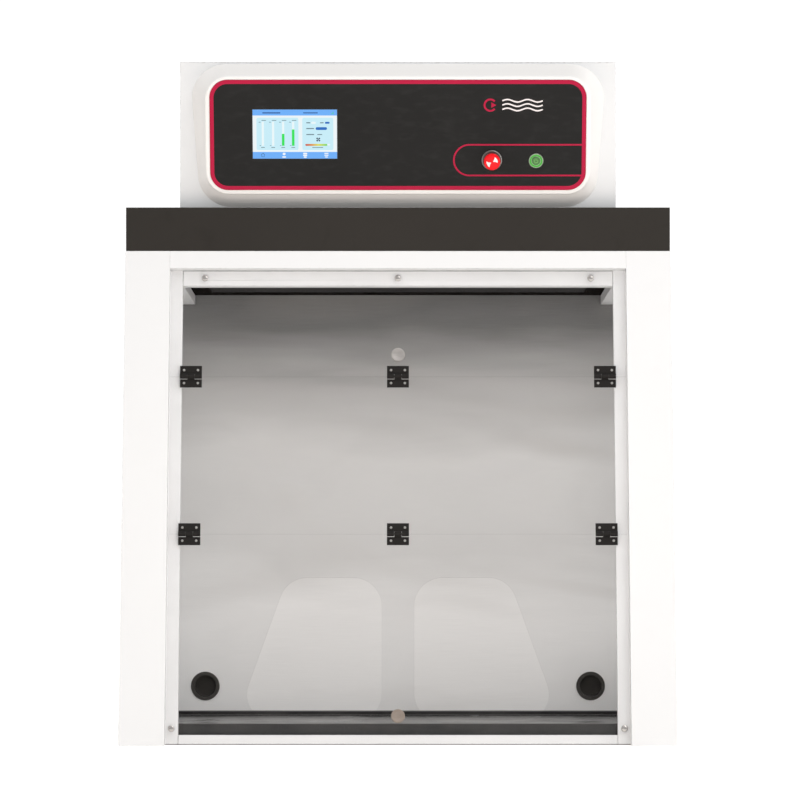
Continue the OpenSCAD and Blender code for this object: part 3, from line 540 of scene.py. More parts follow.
class Coat(Enum):
    """The finishes of the hood."""

    WHITE = PowderCoat("coat_white", (0.735, 0.742, 0.748), (0.55, 0.54, 0.53), 0.40, 650.0, 0.10, 0.012)
    GREY = PowderCoat("coat_light_grey", (0.82, 0.822, 0.826), (0.50, 0.49, 0.48), 0.40, 650.0, 0.10, 0.02)
    BAND = PowderCoat(
        "coat_dark_textured", (0.028, 0.0245, 0.021), (0.13, 0.12, 0.11), 0.6, 1500.0, 0.4, 0.08, 0.15
    )
    HINGE = PowderCoat(
        "coat_hinge_black", (0.016, 0.0145, 0.0135), (0.10, 0.095, 0.09), 0.5, 1400.0, 0.2, 0.08, 0.12
    )
    DECK = PowderCoat(
        "coat_deck_matt", (0.012, 0.010, 0.009), (0.05, 0.05, 0.05), 0.9, 1400.0, 0.3, 0.08, 0.02
    )
    # Painted shade by height from 0.02 m to 0.89 m, with painted light patches.
    WALL = WallSheet("liner_sheet", 0.02, 0.89)
    ZINC = SheetMetal(
        "zinc_sheet", (0.62, 0.63, 0.64), (0.44, 0.45, 0.47), 0.40, 1.0, (6.0, 90.0, 90.0), 70.0
    )
    BRIGHT = Polished("bright_steel", (0.64, 0.61, 0.585), 0.18, 0.12)
    WIRE = Polished("guard_wire", (0.74, 0.74, 0.74), 0.18, 0.15)
    RESIN = Resin("worktop_resin")
    RUBBER = Moulding("black_rubber", (0.065, 0.06, 0.055), 0.62, 900.0, 0.2, 0.0, 0.1, 0.2)
    PLASTIC = Moulding("black_moulding", (0.028, 0.028, 0.028), 0.45, 1800.0, 0.15, 0.0, 0.1)
    POD = Moulding("pod_white", (0.82, 0.80, 0.78), 0.30, 1300.0, 0.05, 0.15, 0.012)
    OVERLAY = Moulding("overlay_black", (0.013, 0.0125, 0.012), 0.36, 1500.0, 0.10, 0.0, 0.12, 0.15)
    TRIM = Moulding("trim_red", (0.45, 0.008, 0.048), 0.40, 1500.0, 0.06, 0.0, 0.05, 0.12)
    STOP = Moulding("stop_red", (0.80, 0.006, 0.012), 0.30, 1500.0, 0.03, 0.1, 0.04, 0.15)
    MARK = Moulding("mark_white", (0.80, 0.74, 0.74), 0.35, 1500.0, 0.03, 0.0, 0.03)
    COLLAR = SheetMetal("stop_collar", (0.33, 0.31, 0.30), (0.24, 0.23, 0.22), 0.34, 1.0, (60.0, 60.0, 60.0))
    GREEN_DARK = Moulding("button_green_dark", (0.05, 0.19, 0.035), 0.28, 1500.0, 0.04, 0.3, 0.05)
    GREEN_LIT = LitPrint("button_green_lit", (0.08, 0.60, 0.05), 0.75)
    GREEN_MARK = LitPrint("button_green_mark", (0.26, 0.62, 0.16), 0.75)
    GREEN_RIM = SheetMetal(
        "button_rim", (0.42, 0.52, 0.38), (0.30, 0.38, 0.27), 0.30, 0.8, (60.0, 60.0, 60.0)
    )
    MEDIA = FibrePad("filter_fibre", (0.014, 0.0135, 0.013))
    SCREW = Polished("dulled_steel", (0.52, 0.50, 0.48), 0.30, 0.15)
    BOARD = Moulding("board_green", (0.015, 0.13, 0.05), 0.35, 600.0, 0.2, 0.0, 0.1)
    GLASS = Moulding("display_glass", (0.004, 0.006, 0.012), 0.10, 900.0, 0.01, 0.6, 0.05)
    CLEAR = ClearSheet("acrylic_face", (0.972, 0.973, 0.974), 0.05, 0.0, (0.01, 0.01, 0.01))
    # Polished edges, light, with a painted glow of strength 0.30 though they are no lamp.
    CLEAR_EDGE = ClearSheet("acrylic_edge", (0.85, 0.86, 0.86), 0.12, 0.6, (0.93, 0.94, 0.95), 0.30)
    CLEAR_CUT = ClearSheet("acrylic_cut", (0.62, 0.63, 0.64), 0.15, 0.35, (0.42, 0.43, 0.44))


# ---------------------------------------------------------------- working frames and meshes


@dataclass(frozen=True)
class Place:
    """A working frame on a face: x across, y inwards from the face, v up the face."""

    origin: Vector
    inward: Vector

    @property
    def matrix(self) -> Matrix:
        """The frame's own axes and origin as a matrix."""
        across = Vector((1.0, 0.0, 0.0))
        up = across.cross(self.inward)
        turn = Matrix((across, self.inward, up)).transposed()
        return Matrix.Translation(self.origin) @ turn.to_4x4()

    def at(self, x: float, y: float, v: float) -> Vector:
        """A point of this frame in the row frame."""
        return self.matrix @ Vector((x, y, v))


def joint(name: str) -> dict[str, Any]:
    """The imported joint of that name."""
    return next(j for j in frame["joints"] if j["name"] == name)


def middle(node: str) -> Vector:
    """Centre of a CAD node's box."""
    low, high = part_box(node)
    return (low + high) / 2


def raked_place() -> Place:
    """The sloping front: its line runs through the two sash hinge lines."""
    up = Vector(joint("upper_sash_lift")["pos_m"]) - Vector(joint("lower_sash_fold")["pos_m"])
    up.normalize()
    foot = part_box("side_panel_left")[0]
    return Place(Vector((0.0, foot.y, 0.0)), up.cross(Vector((1.0, 0.0, 0.0))))


def pod_place(overlay_depth: float = 0.85 * MM, overlay_lift: float = 1.5 * MM) -> Place:
    """The control pod's tilted face, found from the overlay and the stop button's axis."""
    inward = Vector(joint("stop_press")["axis"]).normalized()
    loose = Place(middle("control_overlay"), inward)
    return Place(loose.at(0.0, -overlay_depth, -overlay_lift), inward)


def upright_place(x: float, y: float, z: float, inward: Vector) -> Place:
    """A frame on a level or upright face."""
    return Place(Vector((x, y, z)), inward)


def new_object(name: str, mesh: bpy.types.Mesh) -> bpy.types.Object:
    """Links a new object that holds a mesh."""
    piece = bpy.data.objects.new(name, mesh)
    bpy.context.scene.collection.objects.link(piece)
    return piece


def plain_mesh(piece: bpy.types.Object) -> bpy.types.Object:
    """Turns a piece and its modifiers into a plain mesh."""
    graph = bpy.context.evaluated_depsgraph_get()
    mesh = bpy.data.meshes.new_from_object(piece.evaluated_get(graph))
    piece.modifiers.clear()
    piece.data = mesh
    return piece


def smooth(piece: bpy.types.Object, angle: float = 32.0) -> None:
    """Shades a piece smooth, apart from edges sharper than an angle in degrees."""
    piece.data.shade_smooth()
    piece.data.set_sharp_from_angle(angle=math.radians(angle))


def dress(piece: bpy.types.Object, *coats: Coat) -> None:
    """Gives a piece its finishes, in slot order."""
    piece.data.materials.clear()
    for coat in coats:
        piece.data.materials.append(coat.value.material())


def report(piece: bpy.types.Object, body: str, slot: str, *nodes: str) -> bpy.types.Object:
    """Fixes a finished piece to its body, hides the nodes it stands for, and logs it."""
    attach(piece, body)
    if nodes:
        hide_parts(*nodes)
    log.info("%s on %s: %d faces", piece.name, body, len(piece.data.polygons))
    return piece


def slot_of(node: str) -> str:
    """The record's material slot of a CAD node."""
    rows = frame["record"]["subparts"]
    return next(row["material_slot"] for row in rows if row["node"] == node)


def merged(node: str) -> bmesh.types.BMesh:
    """A CAD node's mesh with its doubles merged and its flat faces whole."""
    shape = bmesh.new()
    shape.from_mesh(frame["nodes"][node].data)
    bmesh.ops.remove_doubles(shape, verts=shape.verts, dist=1e-6)
    bmesh.ops.dissolve_degenerate(shape, edges=shape.edges, dist=1e-6)
    bmesh.ops.dissolve_limit(
        shape, angle_limit=math.radians(0.4), use_dissolve_boundaries=False,
        verts=shape.verts, edges=shape.edges,
    )
    return shape


def mesh_of(name: str, shape: bmesh.types.BMesh) -> bpy.types.Mesh:
    """Turns working geometry into a mesh."""
    mesh = bpy.data.meshes.new(name)
    shape.to_mesh(mesh)
    shape.free()
    return mesh


def round_edges(piece: bpy.types.Object, width: float, segments: int = 2) -> None:
    """Rounds a piece's sharp edges and marks them for wear.

    Args:
        piece: The piece, with one material or none.
        width: How far the rounding reaches from the edge, in metres.
        segments: Faces across the rounding.
    """
    while len(piece.data.materials) < 2:
        piece.data.materials.append(None)
    piece.data.shade_smooth()
    bevel = piece.modifiers.new("round", "BEVEL")
    bevel.width = width
    bevel.segments = segments
    bevel.limit_method = "ANGLE"
    bevel.angle_limit = math.radians(35)
    bevel.use_clamp_overlap = False
    bevel.harden_normals = False
    bevel.material = 1
    weighted = piece.modifiers.new("flat", "WEIGHTED_NORMAL")
    weighted.mode = "FACE_AREA"
    weighted.weight = 50
    plain_mesh(piece)
    mesh = piece.data
    marks = mesh.attributes.new("edge", "FLOAT", "FACE")
    marks.data.foreach_set("value", [float(p.material_index == 1) for p in mesh.polygons])
    mesh.polygons.foreach_set("material_index", [0] * len(mesh.polygons))


def softened(node: str, coat: Coat, width: float = 0.5 * MM, segments: int = 2) -> bpy.types.Object:
    """A CAD node's shape with rounded edges, standing for the node.

    Args:
        node: The CAD node.
        coat: Its finish.
        width: Reach of the rounding.
        segments: Faces across the rounding.

    Returns:
        The finished piece.
    """
    piece = new_object(f"{node}_finished", mesh_of(node, merged(node)))
    round_edges(piece, width, segments)
    dress(piece, coat)
    return report(piece, frame["nodes"][node]["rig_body"], slot_of(node), node)


def repaint(coat: Coat, *nodes: str) -> None:
    """Gives CAD nodes that stay as they are their finish."""
    for node in nodes:
        kept = frame["nodes"][node]
        kept.data.materials.clear()
        kept.data.materials.append(coat.value.material())
        log.info("%s keeps its shape, finish %s", node, coat.value.name)


def arc(centre: Point, radius: float, start: float, end: float, steps: int) -> list[Point]:
    """Points along an arc, angles in degrees."""
    angles = (math.radians(start + (end - start) * i / steps) for i in range(steps + 1))
    return [(centre[0] + radius * math.cos(a), centre[1] + radius * math.sin(a)) for a in angles]


def rounded_box(x: float, v: float, w: float, h: float, r: float, steps: int = 6) -> list[Point]:
    """Outline of a rectangle with round corners, anticlockwise from its lower right."""
    dx, dv = w / 2 - r, h / 2 - r
    corners = [(dx, -dv, -90.0), (dx, dv, 0.0), (-dx, dv, 90.0), (-dx, -dv, 180.0)]
    return [p for cx, cv, a in corners for p in arc((x + cx, v + cv), r, a, a + 90.0, steps)]


def turned(
    name: str, profile: Sequence[Point], place: Place, x: float, v: float, sides: int = 48
) -> bpy.types.Object:
    """A turned piece whose axis stands out of a face.

    Args:
        name: The piece's name.
        profile: Radius and height above the face, from the outer centre to the inner one.
        place: The face's frame.
        x: Place of the axis across.
        v: Place of the axis up the face.
        sides: Faces round the axis.

    Returns:
        The closed piece, smooth, with no finish yet.
    """
    shape = bmesh.new()
    rings: list[list[bmesh.types.BMVert]] = []
    for radius, height in profile:
        count = 1 if radius < 1e-7 else sides
        rings.append([
            shape.verts.new(place.at(
                x + radius * math.cos(math.tau * i / sides), -height,
                v + radius * math.sin(math.tau * i / sides)
            ))
            for i in range(count)
        ])
    closed = rings if len(rings[0]) == 1 else [*rings, rings[0]]
    for near, far in zip(closed, closed[1:]):
        for i in range(sides):
            a, b = near[i % len(near)], near[(i + 1) % len(near)]
            c, d = far[(i + 1) % len(far)], far[i % len(far)]
            shape.faces.new(list(dict.fromkeys([a, b, c, d])))
    bmesh.ops.recalc_face_normals(shape, faces=shape.faces)
    piece = new_object(name, mesh_of(name, shape))
    smooth(piece)
    return piece


class Plates:
    """Thin flat shapes on a face, gathered into one piece."""

    def __init__(self, place: Place, depth: float, thickness: float) -> None:
        """Starts a set whose backs lie at a depth and whose fronts stand proud by a thickness."""
        self.place, self.depth, self.thickness = place, depth, thickness
        self.shape = bmesh.new()

    def outline(self, points: Sequence[Point]) -> Self:
        """Adds one closed outline."""
        front = [self.shape.verts.new(self.place.at(x, self.depth - self.thickness, v)) for x, v in points]
        back = [self.shape.verts.new(self.place.at(x, self.depth, v)) for x, v in points]
        self.shape.faces.new(front)
        self.shape.faces.new(back[::-1])
        for i in range(len(points)):
            j = (i + 1) % len(points)
            self.shape.faces.new([front[j], front[i], back[i], back[j]])
        return self

    def box(self, x: float, v: float, w: float, h: float, r: float = 0.0) -> Self:
        """Adds a rectangle, with round corners if a radius is given."""
        if r > 0:
            return self.outline(rounded_box(x, v, w, h, r, 4))
        return self.outline([(x + w / 2, v - h / 2), (x + w / 2, v + h / 2), (x - w / 2, v + h / 2), (x - w / 2, v - h / 2)])

    def disc(self, x: float, v: float, r: float) -> Self:
        """Adds a round plate."""
        return self.outline(arc((x, v), r, 0.0, 345.0, 23))

    def stroke(self, points: Sequence[Point], width: float) -> Self:
        """Adds a line of constant width along points, with square ends."""
        sides: tuple[list[Point], list[Point]] = ([], [])
        for i, (x, v) in enumerate(points):
            x0, v0 = points[max(i - 1, 0)]
            x1, v1 = points[min(i + 1, len(points) - 1)]
            long = math.hypot(x1 - x0, v1 - v0)
            nx, nv = (v0 - v1) / long * width / 2, (x1 - x0) / long * width / 2
            sides[0].append((x + nx, v + nv))
            sides[1].append((x - nx, v - nv))
        return self.outline([*sides[1], *sides[0][::-1]])

    def piece(self, name: str, body: str, slot: str, coat: Coat | Finish) -> bpy.types.Object:
        """Ends the set as one piece."""
        bmesh.ops.recalc_face_normals(self.shape, faces=self.shape.faces)
        made = new_object(name, mesh_of(name, self.shape))
        finish = coat.value if isinstance(coat, Coat) else coat
        made.data.materials.append(finish.material())
        return report(made, body, slot)


# ---------------------------------------------------------------- Geometry Nodes


class Recipe(Graph):
    """A Geometry Nodes tree with named inputs."""

    def __init__(self, name: str, inputs: dict[str, str]) -> None:
        """Makes the tree and its inputs, each a label and a socket type."""
        super().__init__(bpy.data.node_groups.new(name, "GeometryNodeTree"))
        face = self.tree.interface
        face.new_socket("Geometry", in_out="INPUT", socket_type="NodeSocketGeometry")
        for label, kind in inputs.items():
            face.new_socket(label, in_out="INPUT", socket_type=f"NodeSocket{kind}")
        face.new_socket("Geometry", in_out="OUTPUT", socket_type="NodeSocketGeometry")
        self.entry = self.tree.nodes.new("NodeGroupInput")

    def given(self, label: str) -> Signal:
        """One of the tree's inputs as a signal."""
        return Signal(self, self.entry.outputs[label])

    def end(self, shape: Signal) -> Self:
        """Closes the tree: real geometry with the material that was given."""
        real = self.node("GeometryNodeRealizeInstances", None, {0: shape})
        coated = self.node(
            "GeometryNodeSetMaterial", None, {"Geometry": real, "Material": self.given("Material")}
        )
        self.node("NodeGroupOutput", None, {0: coated})
        return self

    def grow(self, name: str, base: bpy.types.Mesh, **values: Any) -> bpy.types.Object:
        """Runs the tree on a base mesh.

        Args:
            name: The new piece's name.
            base: Points or edges that the tree works on.
            **values: The tree's inputs by label.

        Returns:
            A plain mesh piece, with the modifier removed.
        """
        piece = new_object(name, base)
        grower = piece.modifiers.new("grow", "NODES")
        grower.node_group = self.tree
        keys = {i.name: i.identifier for i in self.tree.interface.items_tree if i.in_out == "INPUT"}
        for label, value in values.items():
            grower[keys[label]] = value
        return plain_mesh(piece)


def fasteners_recipe() -> Recipe:
    """Copies of one fastener at points, each turned about its axis by chance."""
    r = Recipe("fasteners", {
        "Fastener": "Object", "Axis": "Vector", "Turn": "Float", "Seed": "Int", "Material": "Material",
    })
    shape = r.node(
        "GeometryNodeObjectInfo", {"transform_space": "ORIGINAL"}, {"Object": r.given("Fastener")},
        "Geometry"
    )
    points = r.node("GeometryNodeMeshToPoints", None, {"Mesh": r.given("Geometry")})
    angle = r.node(
        "FunctionNodeRandomValue", {"data_type": "FLOAT"},
        {2: 0.0, 3: r.given("Turn"), "Seed": r.given("Seed")}, 1
    )
    turn = r.node("FunctionNodeAxisAngleToRotation", None, {"Axis": r.given("Axis"), "Angle": angle})
    placed = r.node(
        "GeometryNodeInstanceOnPoints", None, {"Points": points, "Instance": shape, "Rotation": turn}
    )
    return r.end(placed)


def bead_recipe() -> Recipe:
    """A round bead along the base's edges."""
    r = Recipe("bead", {"Radius": "Float", "Sides": "Int", "Material": "Material"})
    path = r.node("GeometryNodeMeshToCurve", None, {"Mesh": r.given("Geometry")})
    section = r.node(
        "GeometryNodeCurvePrimitiveCircle", {"mode": "RADIUS"},
        {"Resolution": r.given("Sides"), "Radius": r.given("Radius")}
    )
    bead = r.node(
        "GeometryNodeCurveToMesh", None, {"Curve": path, "Profile Curve": section, "Fill Caps": True}
    )
    return r.end(r.node("GeometryNodeSetShadeSmooth", None, {"Geometry": bead}))


def guard_recipe() -> Recipe:
    """Wire finger guard: rings a step apart round the base's single point."""
    r = Recipe("guard", {
        "Rings": "Int", "Step": "Float", "Wire": "Float", "Segments": "Int", "Material": "Material",
    })
    stack = r.node("GeometryNodeMeshLine", None, {"Count": r.given("Rings"), "Offset": (0.0, 0.0, 0.0)})
    index = r.node("GeometryNodeInputIndex")
    radius = (index + 1.0) * r.given("Step")
    sizes = r.node("ShaderNodeCombineXYZ", None, {"X": radius, "Y": radius, "Z": 1.0})
    circle = r.node(
        "GeometryNodeCurvePrimitiveCircle", {"mode": "RADIUS"},
        {"Resolution": r.given("Segments"), "Radius": 1.0}
    )
    rings = r.node(
        "GeometryNodeInstanceOnPoints", None, {"Points": stack, "Instance": circle, "Scale": sizes}
    )
    paths = r.node("GeometryNodeRealizeInstances", None, {0: rings})
    section = r.node(
        "GeometryNodeCurvePrimitiveCircle", {"mode": "RADIUS"},
        {"Resolution": 10, "Radius": r.given("Wire")}
    )
    wires = r.node("GeometryNodeCurveToMesh", None, {"Curve": paths, "Profile Curve": section})
    soft = r.node("GeometryNodeSetShadeSmooth", None, {"Geometry": wires})
    centre = r.node("GeometryNodeMeshToPoints", None, {"Mesh": r.given("Geometry")})
    return r.end(r.node("GeometryNodeInstanceOnPoints", None, {"Points": centre, "Instance": soft}))


def points_mesh(name: str, points: Iterable[Vector], closed: bool = False) -> bpy.types.Mesh:
    """A mesh of loose points, or of one closed line through them."""
    places = [tuple(p) for p in points]
    edges = [(i, (i + 1) % len(places)) for i in range(len(places))] if closed else []
    mesh = bpy.data.meshes.new(name)
    mesh.from_pydata(places, edges, [])
    return mesh


@dataclass(frozen=True)
class Screw:
    """A domed screw with a hexagon socket, its shank and a low nut behind the panel."""

    head_r: float
    head_h: float
    shank_r: float
    grip: float
    nut_h: float
    socket_r: float = 0.0
    sides: int = 24

    def template(self, place: Place) -> bpy.types.Object:
        """The screw at the origin, pointing out of a face."""
        stand = Place(Vector((0.0, 0.0, 0.0)), place.inward)
        rise = 5
        dome = [
            (
                self.head_r * math.cos(math.pi / 2 * i / rise),
                self.head_h * (0.25 + 0.75 * math.sin(math.pi / 2 * i / rise))
            )
            for i in range(rise + 1)
        ]
        dome = [p for p in dome if p[0] > self.socket_r + 1e-6]
        body = [
            *dome[::-1], (self.head_r, 0.0), (self.shank_r, 0.0), (self.shank_r, -self.grip),
            (self.head_r * 0.96, -self.grip), (self.head_r * 0.96, -self.grip - self.nut_h),
            (0.0, -self.grip - self.nut_h),
        ]
        if self.socket_r > 0:
            floor = self.head_h * 0.35
            body = [(0.0, floor), (self.socket_r, floor), (self.socket_r, self.head_h * 0.93), *body]
        else:
            body = [(0.0, self.head_h), *body]
        return turned("fastener", body, stand, 0.0, 0.0, self.sides)


def fasten(
    name: str, screw: Screw, place: Place, spots: Sequence[Point], depth: float, coat: Coat
) -> bpy.types.Object:
    """Sets screws of one kind into a face.

    Args:
        name: The new piece's name.
        screw: The screw.
        place: The face's frame.
        spots: Places across and up the face.
        depth: Depth of the surface under the heads.
        coat: Finish of the screws.

    Returns:
        All the screws as one plain mesh piece.
    """
    template = screw.template(place)
    base = points_mesh(name, [place.at(x, depth, v) for x, v in spots])
    piece = RECIPES["fasteners"].grow(
        name, base, Fastener=template, Axis=tuple(place.inward), Turn=math.tau, Seed=7,
        Material=coat.value.material()
    )
    bpy.data.objects.remove(template)
    smooth(piece)
    return piece


RECIPES: dict[str, Recipe] = {}


# ---------------------------------------------------------------- sub-assemblies


@dataclass
class Cabinet:
    """Folded steel body, side windows, liner, worktop and what the chamber holds."""

    fold_round: float = 0.7 * MM
    bead_r: float = 1.6 * MM
    bead_corner: float = 14 * MM
    window_margin: float = 62 * MM
    foot_margin: float = 8 * MM
    flange_screw: Screw = Screw(4.2 * MM, 2.2 * MM, 2 * MM, 2.5 * MM, 1.5 * MM, 1.7 * MM)

    def build(self) -> None:
        """Makes every piece of the cabinet."""
        for side in ("left", "right"):
            softened(f"side_panel_{side}", Coat.WHITE, self.fold_round, 3)
            self.window(side)
            softened(f"cable_port_{side}", Coat.RUBBER, 0.8 * MM, 3)
            softened(f"deck_rail_{side}", Coat.GREY, 0.5 * MM)
        softened("worktop", Coat.RESIN, 1.2 * MM, 3)
        wall = softened("back_wall", Coat.WALL, 0.5 * MM)
        wall.data.materials.append(Coat.ZINC.value.material())
        for face in wall.data.polygons:
            face.material_index = int(face.normal.y > 0.5)
        softened("base_pan", Coat.BAND, 0.5 * MM)
        softened("ceiling_deck", Coat.DECK, 0.5 * MM)
        softened("prefilter", Coat.MEDIA, 2.0 * MM, 3)
        self.beads()
        self.rear_screws()

    def window(self, side: str) -> None:
        """One side window with lighter polished edges that carry a painted glow."""
        node = f"side_window_{side}"
        clear_panel(
            node, upright_place(0.0, 0.0, 0.0, Vector((0.0, 1.0, 0.0))), lambda c, n: int(abs(n.x) < 0.7)
        )

    def corners(self, side: float) -> list[Vector]:
        """The side opening's outline, just outside the window's face."""
        low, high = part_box("side_panel_left")
        slope = raked_place().inward
        lean = -slope.z / slope.y
        inset, foot = self.window_margin, self.window_margin + self.foot_margin
        r = self.bead_corner - self.bead_r
        z0, z1 = low.z + foot, high.z - inset
        rear = high.y - inset
        spots = [
            (low.y + lean * z0 + inset, z0, 180.0), (rear, z0, 270.0), (rear, z1, 0.0),
            (low.y + lean * z1 + inset, z1, 90.0)
        ]
        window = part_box("side_window_right")[1].x + 0.3 * MM
        outline: list[Vector] = []
        for y, z, start in spots:
            cy = y + (self.bead_corner if start in (180.0, 90.0) else -self.bead_corner)
            cz = z + (self.bead_corner if start in (180.0, 270.0) else -self.bead_corner)
            outline += [Vector((side * window, p[0], p[1])) for p in arc((cy, cz), r, start, start + 90.0, 8)]
        return outline

    def beads(self) -> None:
        """The glazing beads round both side windows."""
        for name, side in (("left", -1.0), ("right", 1.0)):
            bead = RECIPES["bead"].grow(
                f"glazing_bead_{name}", points_mesh("bead", self.corners(side), closed=True),
                Radius=self.bead_r, Sides=10, Material=Coat.RUBBER.value.material(),
            )
            report(bead, "cabinet", "black_rubber")

    def rear_screws(self, rows: int = 6, inset: float = 32 * MM) -> None:
        """Screws that hold the rear flanges of the side panels."""
        low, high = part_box("side_panel_left")
        rear = upright_place(0.0, high.y, 0.0, Vector((0.0, -1.0, 0.0)))
        x = -low.x - inset
        step = (high.z - low.z - 2 * inset) / (rows - 1)
        spots = [(s * x, -(low.z + inset + i * step)) for s in (-1.0, 1.0) for i in range(rows)]
        screws = fasten("rear_flange_screws", self.flange_screw, rear, spots, 1.9 * MM, Coat.BRIGHT)
        report(screws, "cabinet", "bright_steel")


def clear_panel(node: str, place: Place, kind: Callable[[Vector, Vector], int]) -> bpy.types.Object:
    """An acrylic sheet with polished outer edges, given a painted glow, and sawn openings.

    Args:
        node: The CAD node.
        place: The frame that the faces are judged in.
        kind: Gives a face's finish number from its centre and normal in that frame.

    Returns:
        The finished panel.
    """
    shape = merged(node)
    back = place.matrix.inverted()
    shape.normal_update()
    for face in shape.faces:
        face.material_index = kind(back @ face.calc_center_median(), back.to_3x3() @ face.normal)
    piece = new_object(f"{node}_finished", mesh_of(node, shape))
    smooth(piece)
    dress(piece, Coat.CLEAR, Coat.CLEAR_EDGE, Coat.CLEAR_CUT)
    return report(piece, frame["nodes"][node]["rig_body"], slot_of(node), node)


@dataclass
class FrontFrame:
    """Header, strips, clamp bar and rail that the sash closes against."""

    edge: float = 0.6 * MM
    clamp: Screw = Screw(6 * MM, 3.2 * MM, 2 * MM, 9 * MM, 2 * MM, 0.0, 32)
    place: Place = field(default_factory=raked_place)

    def build(self) -> None:
        """Makes every piece of the front frame."""
        softened("header_panel", Coat.WHITE, 0.8 * MM, 3)
        for node in ("frame_strip_left", "frame_strip_right", "cross_bar", "bottom_rail"):
            softened(node, Coat.GREY, self.edge)
        self.clamp_screws()

    def clamp_screws(self) -> None:
        """Three domed screws through panel and clamp bar."""
        low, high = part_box("clamp_screws")
        reach = high.x - self.clamp.head_r
        back = self.place.matrix.inverted()
        v = (back @ middle("clamp_screws")).z
        face = (back @ Vector((0.0, *raked_face()))).y
        screws = fasten(
            "clamp_screws_finished", self.clamp, self.place, [(-reach, v), (0.0, v), (reach, v)], face,
            Coat.BRIGHT
        )
        report(screws, "cabinet", "bright_steel", "clamp_screws")


def raked_face(v: float = 0.0) -> tuple[float, float]:
    """Y and Z of the acrylic's front face at a height up the slope."""
    place = raked_place()
    back = place.matrix.inverted()
    depth = min((back @ c.co).y for c in frame["nodes"]["fixed_panel"].data.vertices)
    spot = place.at(0.0, depth, v)
    return spot.y, spot.z


@dataclass
class Sash:
    """Three acrylic panels on two rows of hinges, with knob, magnet and catch studs."""

    place: Place = field(default_factory=raked_place)
    pitch: float = 378 * MM
    screw_x: float = 12.6 * MM
    screw_v: float = 12 * MM
    leaf_t: float = 2 * MM
    knob_r: float = 12.5 * MM
    knob_t: float = 4.4 * MM
    leaf_screw: Screw = Screw(2.3 * MM, 1.0 * MM, 1.5 * MM, 7 * MM, 2 * MM, 1.1 * MM, 18)
    stud: Screw = Screw(6 * MM, 2.6 * MM, 2 * MM, 5 * MM, 0.8 * MM, 0.0, 32)

    def build(self) -> None:
        """Makes the panels and everything on them."""
        back = self.place.matrix.inverted()
        self.face = min((back @ c.co).y for c in frame["nodes"]["fixed_panel"].data.vertices)
        self.upper = (back @ Vector(joint("upper_sash_lift")["pos_m"])).z
        self.lower = (back @ Vector(joint("lower_sash_fold")["pos_m"])).z
        for node in ("fixed_panel", "middle_panel", "lower_panel"):
            self.panel(node)
        for node in (
            "upper_hinge_fixed_leaves", "upper_hinge_moving_leaves", "lower_hinge_upper_leaves",
            "lower_hinge_lower_leaves"
        ):
            softened(node, Coat.HINGE, 0.25 * MM)
        for node in ("upper_hinge_pins", "lower_hinge_pins"):
            softened(node, Coat.HINGE, 0.4 * MM)
        self.leaf_screws("fixed_leaf_screws", [(self.upper, 1.0)])
        self.leaf_screws("middle_leaf_screws", [(self.upper, -1.0), (self.lower, 1.0)])
        self.leaf_screws("lower_leaf_screws", [(self.lower, -1.0)])
        self.disc("magnet_disc", "magnet_disc_turned", (0.50, 0.47, 0.45))
        self.disc("pull_knob", "pull_knob_turned", (0.42, 0.35, 0.30))
        self.studs()

    def panel(self, node: str) -> None:
        """One acrylic panel, its outer edges bright with a painted glow and its port edges darker."""
        back = self.place.matrix.inverted()
        spots = [back @ v.co for v in frame["nodes"][node].data.vertices]
        half = max(p.x for p in spots)
        low, high = min(p.z for p in spots), max(p.z for p in spots)

        def kind(centre: Vector, normal: Vector) -> int:
            """Face 0, outer edge 1, cut edge 2."""
            if abs(normal.y) > 0.7:
                return 0
            outer = min(half - abs(centre.x), centre.z - low, high - centre.z) < 0.5 * MM
            return 1 if outer else 2

        clear_panel(node, self.place, kind)

    def leaf_screws(self, node: str, rows: Sequence[tuple[float, float]]) -> None:
        """The screws of one set of leaves, rows being hinge lines and which side of them."""
        spots = [
            (column + side * self.screw_x, line + up * self.screw_v)
            for line, up in rows for column in (-self.pitch, 0.0, self.pitch) for side in (-1.0, 1.0)
        ]
        depth = self.face - self.leaf_t
        screws = fasten(f"{node}_finished", self.leaf_screw, self.place, spots, depth, Coat.SCREW)
        report(screws, frame["nodes"][node]["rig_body"], "bright_steel", node)

    def disc(self, node: str, name: str, tone: Colour) -> None:
        """A turned disc with a broken rim, a post and a nut behind the panel."""
        low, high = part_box(node)
        back = self.place.matrix.inverted()
        v = (back @ ((low + high) / 2)).z
        r, t, soft = self.knob_r, self.knob_t, 0.8 * MM
        panel_t, nut = 5 * MM, 3 * MM
        profile = [
            (0.0, t - 0.3 * MM), (r - 4 * MM, t - 0.3 * MM), (r - 3 * MM, t),
            *[(r - soft + soft * math.cos(math.radians(a)), t - soft + soft * math.sin(math.radians(a))) for a in (90, 60, 30, 0)],
            (r, 0.3 * MM), (r - 0.3 * MM, 0.0), (3 * MM, 0.0), (3 * MM, -panel_t), (5 * MM, -panel_t),
            (5 * MM, -panel_t - nut + 0.4 * MM), (4.6 * MM, -panel_t - nut), (0.0, -panel_t - nut),
        ]
        face = Place(self.place.at(0.0, self.face, 0.0), self.place.inward)
        piece = turned(name, profile, face, 0.0, v, 72)
        finish = Polished(f"{node}_alloy", tone, 0.48, 0.1, tuple(face.at(0.0, 0.0, v)))
        piece.data.materials.append(finish.material())
        report(piece, frame["nodes"][node]["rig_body"], "disc_alloy", node)

    def studs(self) -> None:
        """The two catch studs at the lower corners."""
        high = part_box("catch_studs")[1]
        v = (self.place.matrix.inverted() @ middle("catch_studs")).z
        reach = high.x - self.stud.head_r
        studs = fasten(
            "catch_studs_finished", self.stud, self.place, [(-reach, v), (reach, v)], self.face, Coat.BRIGHT
        )
        report(studs, "lower_sash", "bright_steel", "catch_studs")


